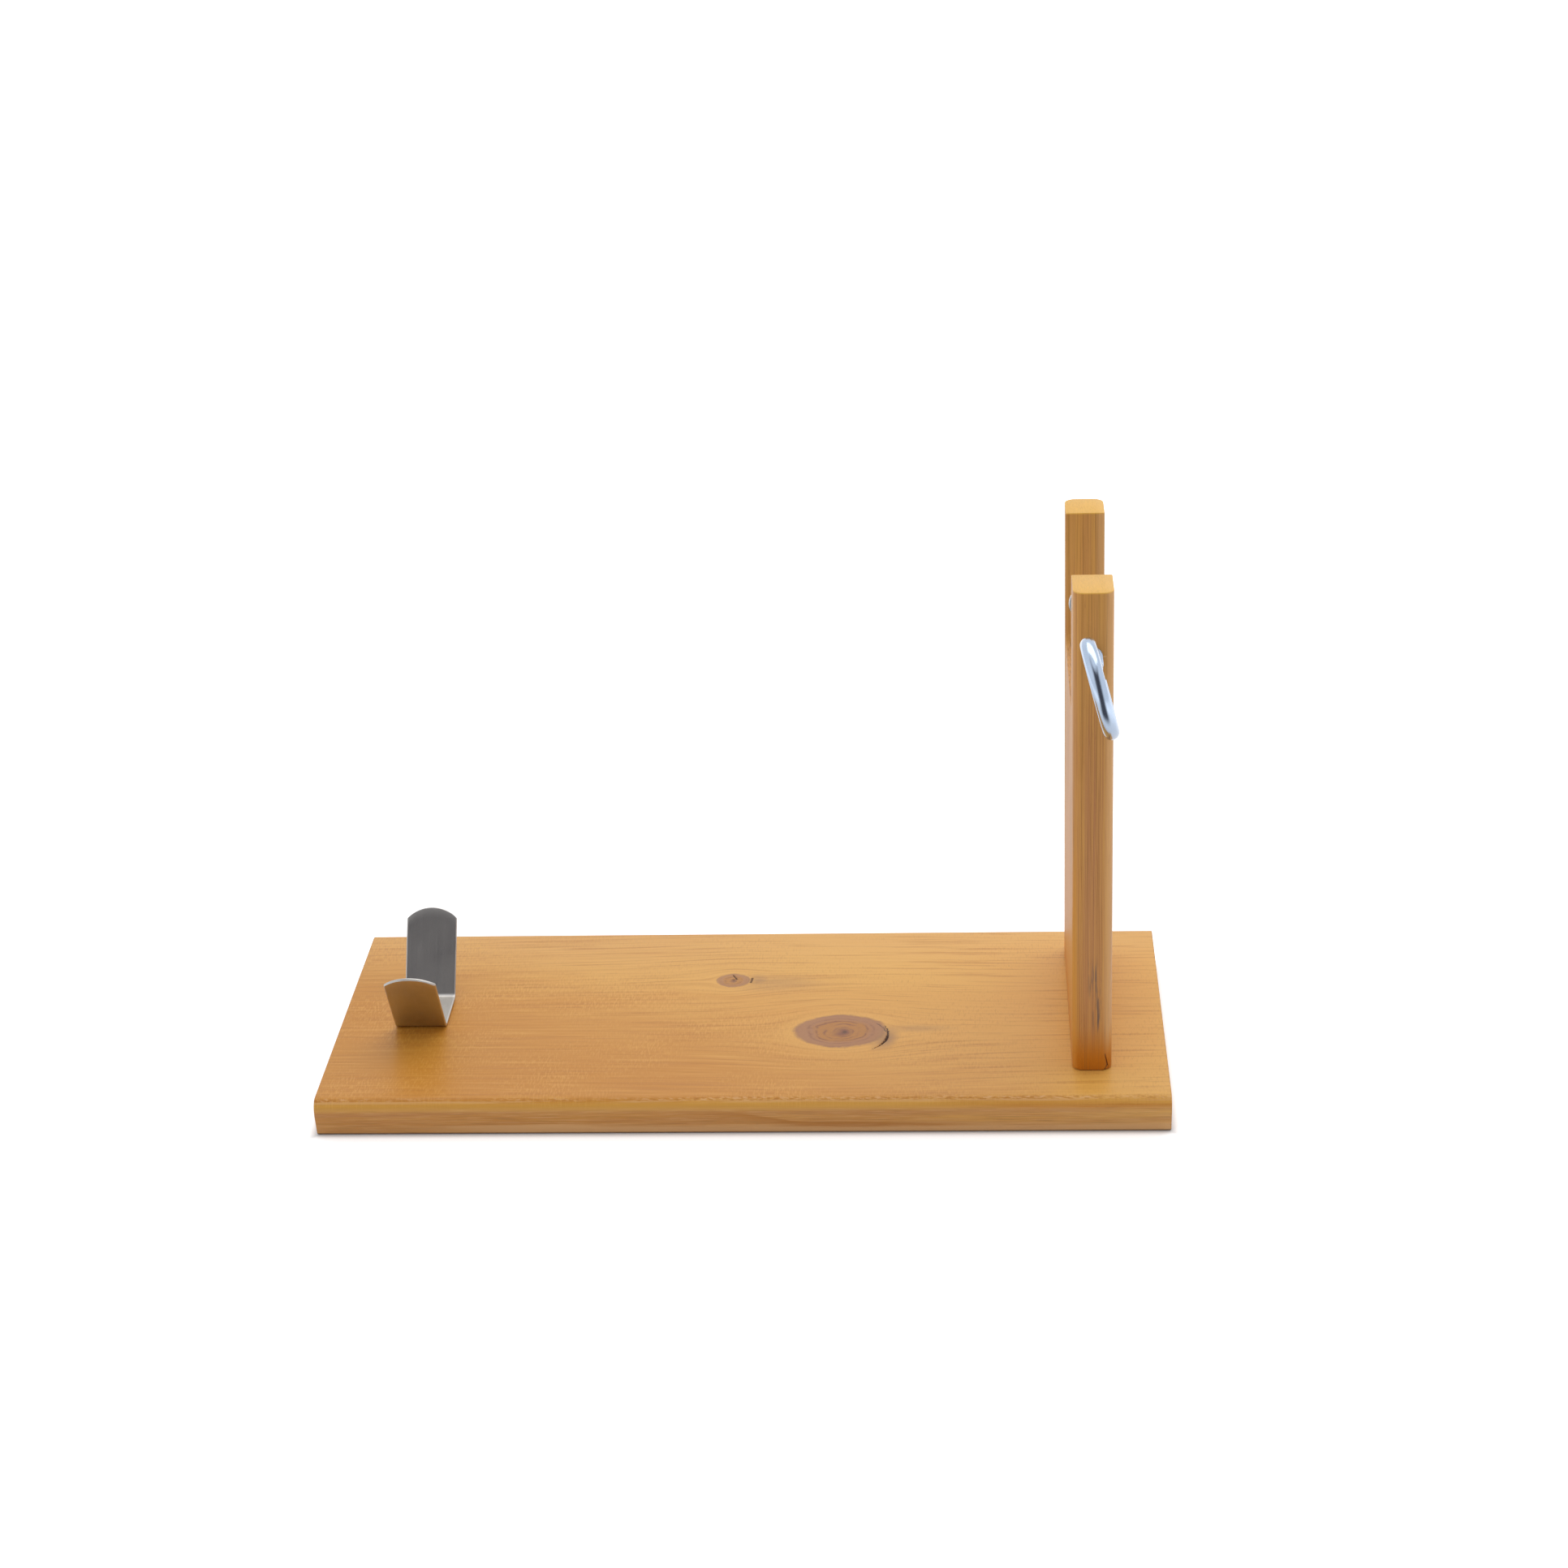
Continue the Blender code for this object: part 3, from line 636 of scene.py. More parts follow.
def upright_pine():
    material, _, shader, place = new_material("upright_pine")
    x, y, z = place
    grown = (z, y, x)
    low, middle, high = UPRIGHT_LOW, UPRIGHT_MIDDLE, UPRIGHT_HIGH
    late = growth_rings(grown, heart=(0.020, middle.x - 0.070), lean=(0.02, 0.010), ring=0.00072)
    paint, fibre = clear_pine(grown, late, 0.90)
    ribbon = noise(place, (420.0, 60.0, 5.0), 3.0, 0.6)
    heart = abs(x - middle.x - 0.001).rise(0.0085, 0.0025) * z.rise(0.230, 0.150)
    paint.over(heart * 0.28 + ribbon.rise(0.35, 0.65) * 0.18 + 0.18, RUSSET_PINE)
    # Amber at the foot: pooled varnish, and painted warm light bounced up from the base
    foot = z.rise(low.z + 0.024, low.z + 0.004)
    paint.over(foot * 0.92, AMBER_PINE)
    lines = noise(place, (1800.0, 240.0, 9.0), 3.0, 0.65)
    paint.over(lines.rise(0.50, 0.66) * (0.60 - foot * 0.10), FIBRE_BROWN)
    paint.over(lines.rise(0.46, 0.32) * (1.0 - foot) * 0.40, PALE_PINE)
    # Paler along the right edge: a painted highlight on its rounding
    paint.over(x.rise(high.x - 0.0050, high.x - 0.0020) * (1.0 - foot) * 0.50, CREAM_PINE)

    # A blue-grey stain low on the front, pale end grain on the prongs, checks at the foot and a nick
    front = y.rise(low.y + 0.012, low.y + 0.004)
    streak = noise(place, (800.0, 120.0, 45.0), 3.0, 0.6).rise(0.48, 0.62)
    stained = abs(x - (middle.x + 0.0020) + (z - 0.055) * 0.09).rise(0.0042, 0.0008)
    stained = stained * z.rise(0.034, 0.046) * z.rise(0.082, 0.064) * front
    paint.over(streak * stained * 0.85, BLUE_STAIN)
    paint.over(z.rise(high.z - 0.0009, high.z - 0.0002) * 0.60, END_PINE)
    paint_checks(paint, x, z, FOOT_CHECKS, (ribbon - 0.5) * 0.0006, front)
    nick = distance((x - UPRIGHT_NICK[0]) / NICK_HALF[0], (z - UPRIGHT_NICK[1]) / NICK_HALF[1])
    paint.over(nick.rise(1.0, 0.5) * front * 0.85, CREAM_PINE)
    left = x.rise(low.x + 0.0030, low.x + 0.0005)
    paint.over(left * z.rise(0.160, 0.070) * 0.55, HONEY_PINE)
    varnish(shader, paint, fibre, late, fibre * 0.6 + late * 0.4)
    return material


# Metals: colour, roughness and its spread, stretch of the grain along X, Y and Z, and the grain's depth

METALS = {
    "bright_wire": ((0.56, 0.67, 0.83), 0.17, 0.06, (500.0, 40.0, 500.0), 0.00001),
    "satin_stainless": ((0.62, 0.59, 0.55), 0.36, 0.14, (2600.0, 40.0, 40.0), 0.00002),
    "zinc_plate": ((0.66, 0.67, 0.66), 0.30, 0.16, (500.0, 500.0, 500.0), 0.00002),
    "turned_steel": ((0.64, 0.65, 0.65), 0.26, 0.14, (300.0, 3000.0, 300.0), 0.00002),
    "turned_brass": ((0.74, 0.53, 0.23), 0.26, 0.14, (300.0, 3000.0, 300.0), 0.00002),
}
DULL_SHARE = 0.86


def metal(name):
    """A metal whose gloss and surface follow its grain."""
    colour, roughness, spread, grain, depth = METALS[name]
    material, tree, shader, place = new_material(name)
    drawn = noise(place, grain, 3.0, 0.6)
    cloud = noise(place, (90.0, 90.0, 90.0), 3.0)
    paint = Paint(tree, colour)
    paint.over(cloud.rise(0.35, 0.7) * 0.5 + drawn * 0.3, tuple(part * DULL_SHARE for part in colour))
    feed_all(tree, shader, {
        "Base Color": paint.colour, "Metallic": 1.0,
        "Roughness": roughness + (drawn - 0.5) * spread + (cloud - 0.5) * spread,
    })
    relief(tree, shader, drawn, depth, 0.15)
    return material


# Meshes


def new_object(name, data):
    obj = bpy.data.objects.new(name, data)
    bpy.context.scene.collection.objects.link(obj)
    return obj


def baked(obj):
    """The mesh of a helper object as its modifiers leave it. The helper goes."""
    graph = bpy.context.evaluated_depsgraph_get()
    mesh = bpy.data.meshes.new_from_object(obj.evaluated_get(graph))
    bpy.data.objects.remove(obj)
    return mesh


def mesh_of(bm, name):
    mesh = bpy.data.meshes.new(name)
    bm.to_mesh(mesh)
    bm.free()
    return mesh


def cut(mesh, cutters):
    """A mesh less its cutters, which are used up."""
    obj = new_object("cut", mesh)
    helpers = [new_object("cutter", other) for other in cutters]
    for helper in helpers:
        modifier = obj.modifiers.new("cut", "BOOLEAN")
        modifier.object = helper
    result = baked(obj)
    for helper in helpers:
        bpy.data.objects.remove(helper)
    return result


def eased(mesh, width, segments=2):
    """A mesh with its sharp edges rounded off."""
    obj = new_object("eased", mesh)
    bevel = obj.modifiers.new("ease", "BEVEL")
    bevel.width = width
    bevel.segments = segments
    bevel.limit_method = "ANGLE"
    bevel.angle_limit = math.radians(40)
    return baked(obj)


def shade(mesh, angle=math.radians(30)):
    mesh.shade_smooth()
    mesh.set_sharp_from_angle(angle=angle)
    return mesh


def piece(name, mesh, material, body, nodes):
    """A finished mesh that stands for CAD nodes and rides on their body."""
    mesh.name = name
    mesh.materials.clear()
    mesh.materials.append(material)
    obj = new_object(name, mesh)
    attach(obj, body)
    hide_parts(*nodes)
    return obj


def arc(centre, radius, start, end, steps):
    angles = [start + (end - start) * i / steps for i in range(steps + 1)]
    return [(centre[0] + radius * math.cos(a), centre[1] + radius * math.sin(a)) for a in angles]


def spun(corners, axis, steps, move):
    """An open outline turned about an axis through the origin, then moved."""
    bm = bmesh.new()
    corners = [bm.verts.new(corner) for corner in corners]
    edges = [bm.edges.new(pair) for pair in zip(corners, corners[1:])]
    bmesh.ops.spin(bm, geom=corners + edges, cent=(0, 0, 0), axis=axis, angle=2 * math.pi, steps=steps)
    bmesh.ops.remove_doubles(bm, verts=bm.verts, dist=WELD)
    bmesh.ops.recalc_face_normals(bm, faces=bm.faces)
    bmesh.ops.translate(bm, verts=bm.verts, vec=move)
    return mesh_of(bm, "spun")


def turned(profile, steps):
    """A profile of (radius, Y) turned about the clamp's axis."""
    return spun([(radius, y, 0) for radius, y in profile], (0, 1, 0), steps, (CLAMP_X, 0, CLAMP_Z))


def bored(profile, node):
    """A profile of (radius, Z) turned about a screw's own upright axis."""
    middle = sum(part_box(node), Vector()) / 2
    return spun([(radius, 0, z) for radius, z in profile], (0, 0, 1), HOLE_STEPS, (middle.x, middle.y, 0))


def prism(outline, low, high, turn):
    """A flat outline drawn out from one height to another, then turned by a matrix."""
    bm = bmesh.new()
    floor = bm.faces.new([bm.verts.new((a, b, low)) for a, b in outline])
    risen = bmesh.ops.extrude_face_region(bm, geom=[floor])["geom"]
    verts = [item for item in risen if isinstance(item, bmesh.types.BMVert)]
    bmesh.ops.translate(bm, verts=verts, vec=(0, 0, high - low))
    bmesh.ops.transform(bm, verts=bm.verts, matrix=turn)
    bmesh.ops.recalc_face_normals(bm, faces=bm.faces)
    return mesh_of(bm, "prism")


# Base board


def spaced(start, end, fine_spans):
    """Grid lines from start to end: coarse steps, and fine ones inside the given spans."""
    coarse, fine = 0.004, 0.00035
    marks = sorted({start, end, *[edge for span in fine_spans for edge in span]})
    lines = []
    for low, high in zip(marks, marks[1:]):
        inside = any(span[0] <= low and high <= span[1] for span in fine_spans)
        count = max(1, round((high - low) / (fine if inside else coarse)))
        lines += [low + (high - low) * i / count for i in range(count)]
    return lines + [end]


def base_lines():
    """Grid lines of the base's top along X and across Y, close together where it is cracked."""
    margin = 0.0012
    checks = [point for check in SMALL_CHECKS for point in check[:2]]
    checks_x, checks_y = zip(*checks)
    (crack_x, crack_y), radius = CRACK_CENTRE, CRACK_RADIUS
    spans_x = [
        (crack_x + radius * math.cos(CRACK_FROM) - margin, crack_x + radius + margin),
        (min(checks_x) - margin, max(checks_x) + margin),
    ]
    spans_y = [
        (crack_y + radius * math.sin(CRACK_FROM) - margin, crack_y + radius * math.sin(CRACK_TO) + margin),
        (min(checks_y) - margin, max(checks_y) + margin),
    ]
    edge = BASE_HIGH.y - BASE_EDGE_RADIUS
    along = spaced(BASE_LOW.x + BASE_END_EASING, BASE_HIGH.x - BASE_END_EASING, spans_x)
    return along, spaced(-edge, edge, spans_y)


def base_relief(x, y):
    """Height of the base's top above its plane: knots stand proud, and cracks and checks are sunk."""
    height = np.zeros_like(x)
    for middle_x, middle_y, half_length, half_width in (LARGE_KNOT, SMALL_KNOT):
        out = np.hypot((x - middle_x) / half_length, (y - middle_y) / half_width)
        height += KNOT_PROUD * np.clip((1.1 - out) / 0.3, 0, 1)
    sideways, forward = x - CRACK_CENTRE[0], y - CRACK_CENTRE[1]
    angle = np.arctan2(forward, sideways)
    taper = np.clip((angle - CRACK_FROM) / (CRACK_WIDEST - CRACK_FROM), 0, 1)
    taper = taper * np.clip((CRACK_TO - angle) / (CRACK_TO - CRACK_WIDEST), 0, 1)
    off = np.abs(np.hypot(sideways, forward) - CRACK_RADIUS)
    height -= CRACK_DEPTH * taper * np.clip(1 - off / (CRACK_HALF_WIDTH * taper + 0.0001), 0, 1)
    for start, end, half_width in SMALL_CHECKS:
        run = np.subtract(end, start)
        share = np.clip(((x - start[0]) * run[0] + (y - start[1]) * run[1]) / (run @ run), 0, 1)
        off = np.hypot(x - start[0] - share * run[0], y - start[1] - share * run[1])
        height -= CHECK_DEPTH * np.clip(1 - off / (0.7 * half_width), 0, 1)
    return height


def base_loop(across):
    """Section of the base as (Y, Z), once round from the underside, and which points are on its top."""
    half, top, radius = BASE_HIGH.y, BASE_TOP, BASE_EDGE_RADIUS
    depth, height, ease = BASE_UNDERCUT_DEPTH, BASE_UNDERCUT_HEIGHT, BASE_FOOT_EASING
    lean = math.atan2(depth, height)
    side = arc((half - depth - ease * 0.75, ease), ease, -QUARTER, -lean, 4)
    side += [(half - depth * (1 - share), height * share) for share in (0.4, 0.7, 1.0)]
    side += arc((half - radius, top - radius), radius, 0, QUARTER, 10)[:-1]
    flat = [(y, top) for y in reversed(across)]
    loop = side + flat + [(-y, z) for y, z in reversed(side)]
    on_top = [len(side) <= i < len(side) + len(flat) for i in range(len(loop))]
    return np.array(loop), np.array(on_top)


def shrunk(loop, inset):
    """A convex section drawn in by a distance all round."""
    run = np.roll(loop, -1, axis=0) - np.roll(loop, 1, axis=0)
    inward = np.stack([-run[:, 1], run[:, 0]], axis=1) / np.linalg.norm(run, axis=1)[:, None]
    return loop + inset * inward


def base_mesh():
    along, across = base_lines()
    loop, on_top = base_loop(across)
    ease = BASE_END_EASING
    turns = [QUARTER * i / 3 for i in range(3)]
    left = [(BASE_LOW.x + ease * (1 - math.cos(t)), ease * (1 - math.sin(t))) for t in turns]
    right = [(-x, inset) for x, inset in reversed(left)]
    rows = []
    for x, inset in left + [(x, 0.0) for x in along] + right:
        ring = shrunk(loop, inset)
        height = np.where(on_top, base_relief(np.full(len(ring), x), ring[:, 0]), 0.0)
        rows.append(np.column_stack([np.full(len(ring), x), ring[:, 0], ring[:, 1] + height]))
    index = np.arange(len(rows) * len(loop)).reshape(len(rows), len(loop))
    ahead = np.roll(index, -1, axis=1)
    quads = np.stack([index[:-1], ahead[:-1], ahead[1:], index[1:]], axis=-1).reshape(-1, 4)
    mesh = bpy.data.meshes.new("base")
    faces = [*quads.tolist(), index[0][::-1].tolist(), index[-1].tolist()]
    mesh.from_pydata(np.concatenate(rows).tolist(), [], faces)
    return mesh


def build_base():
    cutters = [screw_hole(node) for node in UPRIGHT_SCREWS] + [pan_hole(node) for node in CRADLE_SCREWS]
    mesh = shade(cut(base_mesh(), cutters))
    for face in mesh.polygons:
        if face.normal.z < -FLAT_FACE or abs(face.normal.x) > FLAT_FACE:
            face.use_smooth = False
    piece("base_board_pine", mesh, base_pine(), "stand", ["base_board"])


# Forked upright


def upright_plan():
    half = (UPRIGHT_HIGH - UPRIGHT_LOW) / 2
    middle, radius = UPRIGHT_MIDDLE, UPRIGHT_EDGE_RADIUS
    outline = []
    for i, (side, end) in enumerate(((1, 1), (-1, 1), (-1, -1), (1, -1))):
        centre = (middle.x + side * (half.x - radius), middle.y + end * (half.y - radius))
        outline += arc(centre, radius, i * QUARTER, (i + 1) * QUARTER, 8)
    return outline


def notch_outline():
    front, rear = UPRIGHT_LOW.y + FRONT_PRONG, UPRIGHT_HIGH.y - REAR_PRONG
    top, floor, radius = UPRIGHT_HIGH.z + CUT_PAST, UPRIGHT_HIGH.z - NOTCH_DEPTH, NOTCH_CORNER_RADIUS
    outline = [(rear, top), (front, top)]
    outline += arc((front + radius, floor + radius), radius, math.pi, 1.5 * math.pi, 10)
    outline += arc((rear - radius, floor + radius), radius, 1.5 * math.pi, 2 * math.pi, 10)
    return outline


def chip_cutter():
    """A splinter that broke off the foot of the front edge."""
    bm = bmesh.new()
    bmesh.ops.create_cone(
        bm, cap_ends=True, segments=5, radius1=CHIP_LOW_RADIUS, radius2=CHIP_HIGH_RADIUS, depth=CHIP_LENGTH
    )
    corner = Vector((UPRIGHT_HIGH.x, UPRIGHT_LOW.y, UPRIGHT_LOW.z))
    place = Matrix.Translation(corner + CHIP_IN) @ Matrix.Rotation(CHIP_LEAN, 4, "Y")
    bmesh.ops.transform(bm, verts=bm.verts, matrix=place)
    return mesh_of(bm, "chip")


def prong_bore():
    """Cutter for the clamp's hole in the front prong and the wider pocket of the insert."""
    front, rear = UPRIGHT_LOW.y - CUT_PAST, UPRIGHT_LOW.y + FRONT_PRONG + CUT_PAST
    floor = INSERT_LOW.y - SCREW_CLEARANCE
    bore, pocket = THREAD_RADIUS + THREAD_PLAY, INSERT_RADIUS + SCREW_CLEARANCE
    profile = [(0, rear), (pocket, rear), (pocket, floor), (bore, floor), (bore, front), (0, front)]
    return turned(profile, steps=64)


def build_upright():
    across = Matrix(((0, 0, 1, 0), (1, 0, 0, 0), (0, 1, 0, 0), (0, 0, 0, 1)))
    body = prism(upright_plan(), UPRIGHT_LOW.z, UPRIGHT_HIGH.z, Matrix.Identity(4))
    notch = prism(notch_outline(), UPRIGHT_LOW.x - CUT_PAST, UPRIGHT_HIGH.x + CUT_PAST, across)
    body = eased(cut(body, [notch]), UPRIGHT_EASING)
    cutters = [prong_bore(), chip_cutter()] + [screw_hole(node) for node in UPRIGHT_SCREWS]
    mesh = shade(cut(body, cutters))
    piece("fork_upright_pine", mesh, upright_pine(), "stand", ["fork_upright"])


# Node trees that make meshes


def new_tree(name, inputs):
    """An empty mesh tree with its named inputs: the tree, the inputs, and their identifiers."""
    tree = bpy.data.node_groups.new(name, "GeometryNodeTree")
    sockets = {}
    for key, kind in inputs.items():
        made = tree.interface.new_socket(key, in_out="INPUT", socket_type=f"NodeSocket{kind}")
        sockets[key] = made.identifier
    tree.interface.new_socket("Geometry", in_out="OUTPUT", socket_type="NodeSocketGeometry")
    return tree, add(tree, "NodeGroupInput").outputs, sockets


def end_tree(tree, made, finish):
    """Ends a mesh tree: copies made real, in their material."""
    real = add(tree, "GeometryNodeRealizeInstances", {0: made.outputs[0]})
    dressed = add(tree, "GeometryNodeSetMaterial", {"Geometry": real.outputs[0], "Material": finish})
    add(tree, "NodeGroupOutput", {0: dressed.outputs[0]})


def grow(obj, tree, sockets, values):
    """The mesh that a tree makes of a helper object, with the tree's inputs set by name."""
    modifier = obj.modifiers.new("grow", "NODES")
    modifier.node_group = tree
    for name, value in values.items():
        modifier[sockets[name]] = value
    return baked(obj)


def captured(tree, geometry, items):
    """Keeps values (kind, name, source) on geometry under their names."""
    node = add(tree, "GeometryNodeCaptureAttribute", {"Geometry": geometry})
    for kind, name, source in items:
        node.capture_items.new(kind, name)
        feed(tree, node.inputs[name], source)
    return node.outputs


def threaded_tree():
    """Sweeps a round section along a curve, as thick as the curve's radius, and rolls a thread on it."""
    tree, given, sockets = new_tree("rolled_thread", {
        "Path": "Geometry", "Sides": "Int", "Ring Spacing": "Float", "Pitch": "Float", "Depth": "Float",
        "From": "Float", "To": "Float", "Run Out": "Float", "Finish": "Material",
    })
    steps = {"Curve": given["Path"], "Length": given["Ring Spacing"]}
    path = add(tree, "GeometryNodeResampleCurve", steps, mode="LENGTH")
    kept = captured(tree, path.outputs[0], (
        ("FLOAT", "along", add(tree, "GeometryNodeSplineParameter").outputs["Length"]),
        ("FLOAT", "thick", add(tree, "GeometryNodeInputRadius").outputs[0]),
        ("VECTOR", "middle", add(tree, "GeometryNodeInputPosition").outputs[0]),
    ))
    thin = add(tree, "GeometryNodeSetCurveRadius", {"Curve": kept["Geometry"], "Radius": 1.0})
    section = {"Resolution": given["Sides"], "Radius": WIRE_RADIUS}
    circle = add(tree, "GeometryNodeCurvePrimitiveCircle", section)
    turn = add(tree, "GeometryNodeSplineParameter").outputs["Factor"]
    round_kept = captured(tree, circle.outputs[0], (("FLOAT", "around", turn),))
    swept = {"Curve": thin.outputs[0], "Profile Curve": round_kept["Geometry"], "Fill Caps": True}
    tube = add(tree, "GeometryNodeCurveToMesh", swept)
    sources = (kept["along"], kept["thick"], round_kept["around"])
    along, thick, around = (Value(tree, socket) for socket in sources)
    names = ("From", "To", "Run Out", "Pitch", "Depth")
    start, end, run_out, pitch, depth = (Value(tree, given[name]) for name in names)
    phase = (along / pitch - around).part()
    ridge = (1.0 - abs(phase * 2.0 - 1.0)).rise(0.14, 0.86)
    inside = ((along - start) / run_out).rise(0.0, 1.0) * ((end - along) / run_out).rise(0.0, 1.0)
    radius = thick + ridge * inside * depth
    middle, position = kept["middle"], add(tree, "GeometryNodeInputPosition").outputs[0]
    spoke = vector_math(tree, "SUBTRACT", {0: position, 1: middle})
    outward = vector_math(tree, "NORMALIZE", {0: spoke})
    reach = vector_math(tree, "SCALE", {0: outward, "Scale": radius})
    place = vector_math(tree, "ADD", {0: middle, 1: reach})
    moved = add(tree, "GeometryNodeSetPosition", {"Geometry": tube.outputs[0], "Position": place})
    welded = add(tree, "GeometryNodeMergeByDistance", {"Geometry": moved.outputs[0], "Distance": WELD})
    end_tree(tree, welded, given["Finish"])
    return tree, sockets


def threaded(path, radii, values):
    """Mesh of a round piece along a path, with a thread on part of it."""
    curve = bpy.data.curves.new("path", "CURVE")
    curve.dimensions = "3D"
    spline = curve.splines.new("POLY")
    spline.points.add(len(path) - 1)
    for point, place, radius in zip(spline.points, path, radii):
        point.co = (*place, 1)
        point.radius = radius
    return grow(new_object("path", curve), *THREADED, values)


# Clamp


def clamp_path():
    """Middle of the wire and its radius, from the ball tip along the thread, round the neck and the eye."""
    core = THREAD_RADIUS - THREAD_DEPTH
    foot = math.asin(BALL_NECK_RADIUS / BALL_RADIUS)
    ball = arc((0, 0), BALL_RADIUS, 0, math.pi - foot, 14)
    points = [(along, 0.0, max(radius, 0.0)) for along, radius in ball]
    neck_start = EYE_Y + EYE_NECK - BALL_Y
    end, start = -BALL_STAND_OFF, neck_start + THREAD_START
    points += [(end, 0.0, BALL_NECK_RADIUS), (end - WELD, 0.0, core - THREAD_CHAMFER / 2)]
    points += [(end - THREAD_CHAMFER, 0.0, core), (start + THREAD_RUN_OUT, 0.0, core)]
    points += [(start, 0.0, WIRE_RADIUS)]
    bend = math.atan2(NECK_RADIUS, EYE_NECK)
    neck = arc((-EYE_NECK, NECK_RADIUS), NECK_RADIUS, -QUARTER, -bend, 90)
    loop = arc((0, 0), EYE_RADIUS, math.pi - bend, EYE_END, 900)[1:]
    points += [(EYE_Y - BALL_Y - along, side, WIRE_RADIUS) for along, side in neck + loop]
    end_along, end_side, _ = points.pop()
    points += [(end_along, end_side, WIRE_RADIUS - WIRE_END_ROUND)]
    tilt = Vector((-math.sin(EYE_LEAN), 0, math.cos(EYE_LEAN)))
    aside = Vector((math.cos(EYE_LEAN), 0, math.sin(EYE_LEAN)))
    axis = Vector((CLAMP_X, BALL_Y, CLAMP_Z))
    path = []
    for along, side, _ in points:
        sway = EYE_SWAY * max(neck_start - along, 0.0)
        path.append(axis + Vector((0, along, 0)) + tilt * side + aside * sway)
    return path, [radius for _, _, radius in points]


def build_clamp():
    finish = metal("bright_wire")
    mesh = threaded(*clamp_path(), {
        "Sides": 48, "Ring Spacing": THREAD_PITCH / THREAD_RINGS, "Pitch": THREAD_PITCH,
        "Depth": THREAD_DEPTH, "From": BALL_RADIUS + BALL_STAND_OFF,
        "To": BALL_Y + BALL_RADIUS - (EYE_Y + EYE_NECK + THREAD_START), "Run Out": THREAD_RUN_OUT,
        "Finish": finish,
    })
    mesh = shade(mesh, math.radians(50))
    piece("clamp_screw_eye_bolt", mesh, finish, "clamp", ["clamp_screw"])


# Insert and pad


def build_insert():
    low, high, seat = INSERT_LOW.y, INSERT_HIGH.y, INSERT_HIGH.y - INSERT_FLANGE
    bore, radius, flange, ease = INSERT_BORE, INSERT_RADIUS, INSERT_FLANGE_RADIUS, INSERT_EASING
    profile = [(bore, high), (flange - ease, high), (flange, high - ease)]
    profile += [(flange, seat + ease), (flange - ease, seat), (radius, seat)]
    profile += [(radius, low + INSERT_CHAMFER), (radius - INSERT_CHAMFER, low), (bore, low), (bore, high)]
    corner = INSERT_KEY / math.sqrt(3)
    outline = arc((CLAMP_X, CLAMP_Z), corner, 0, 5 * math.pi / 3, 5)
    facing = Matrix(((1, 0, 0, 0), (0, 0, 1, 0), (0, 1, 0, 0), (0, 0, 0, 1)))
    key = prism(outline, high - INSERT_KEY_DEPTH, high + CUT_PAST, facing)
    mesh = shade(cut(turned(profile, steps=72), [key]))
    piece("threaded_insert_brass", mesh, metal("turned_brass"), "stand", ["threaded_insert"])


def build_pad():
    face, mouth, rim = PAD_HIGH.y, PAD_LOW.y, PAD_HIGH.y - PAD_RIM
    dish, collar, flare = PAD_DISH_DEPTH, PAD_COLLAR_RADIUS, PAD_COLLAR_FLARE
    profile = [(0, face - dish), (PAD_DISH_RADIUS, face - dish), (PAD_DISH_RADIUS + dish, face)]
    profile += arc((PAD_RADIUS - PAD_ROUND, face - PAD_ROUND), PAD_ROUND, QUARTER, 0, 6)
    profile += [(PAD_RADIUS, rim + PAD_EASING), (PAD_RADIUS - PAD_EASING, rim)]
    profile += [(collar + flare, rim - flare), (collar, rim - 2 * flare)]
    profile += [(collar, mouth + PAD_COLLAR_EASING), (collar - PAD_COLLAR_EASING, mouth)]
    lip = math.asin(PAD_MOUTH / PAD_SOCKET)
    profile += arc((0, BALL_Y), PAD_SOCKET, -lip, QUARTER, 12)[:-1] + [(0, BALL_Y + PAD_SOCKET)]
    mesh = shade(turned(profile, steps=96))
    piece("pressure_pad_swivel", mesh, metal("turned_steel"), "pad", ["pressure_pad"])


# Cradle strip


def folded(station):
    """Place (Y, Z) on the underside of the strip, at a distance along it from its middle."""
    radius, slope = CRADLE_FOLD_RADIUS, CRADLE_SLOPE
    flat = CRADLE_FOLD - radius * math.tan(slope / 2)
    if station <= flat:
        return station, 0.0
    angle = min((station - flat) / radius, slope)
    past = station - flat - radius * angle
    y = flat + radius * math.sin(angle) + past * math.cos(slope)
    return y, radius * (1 - math.cos(angle)) + past * math.sin(slope)


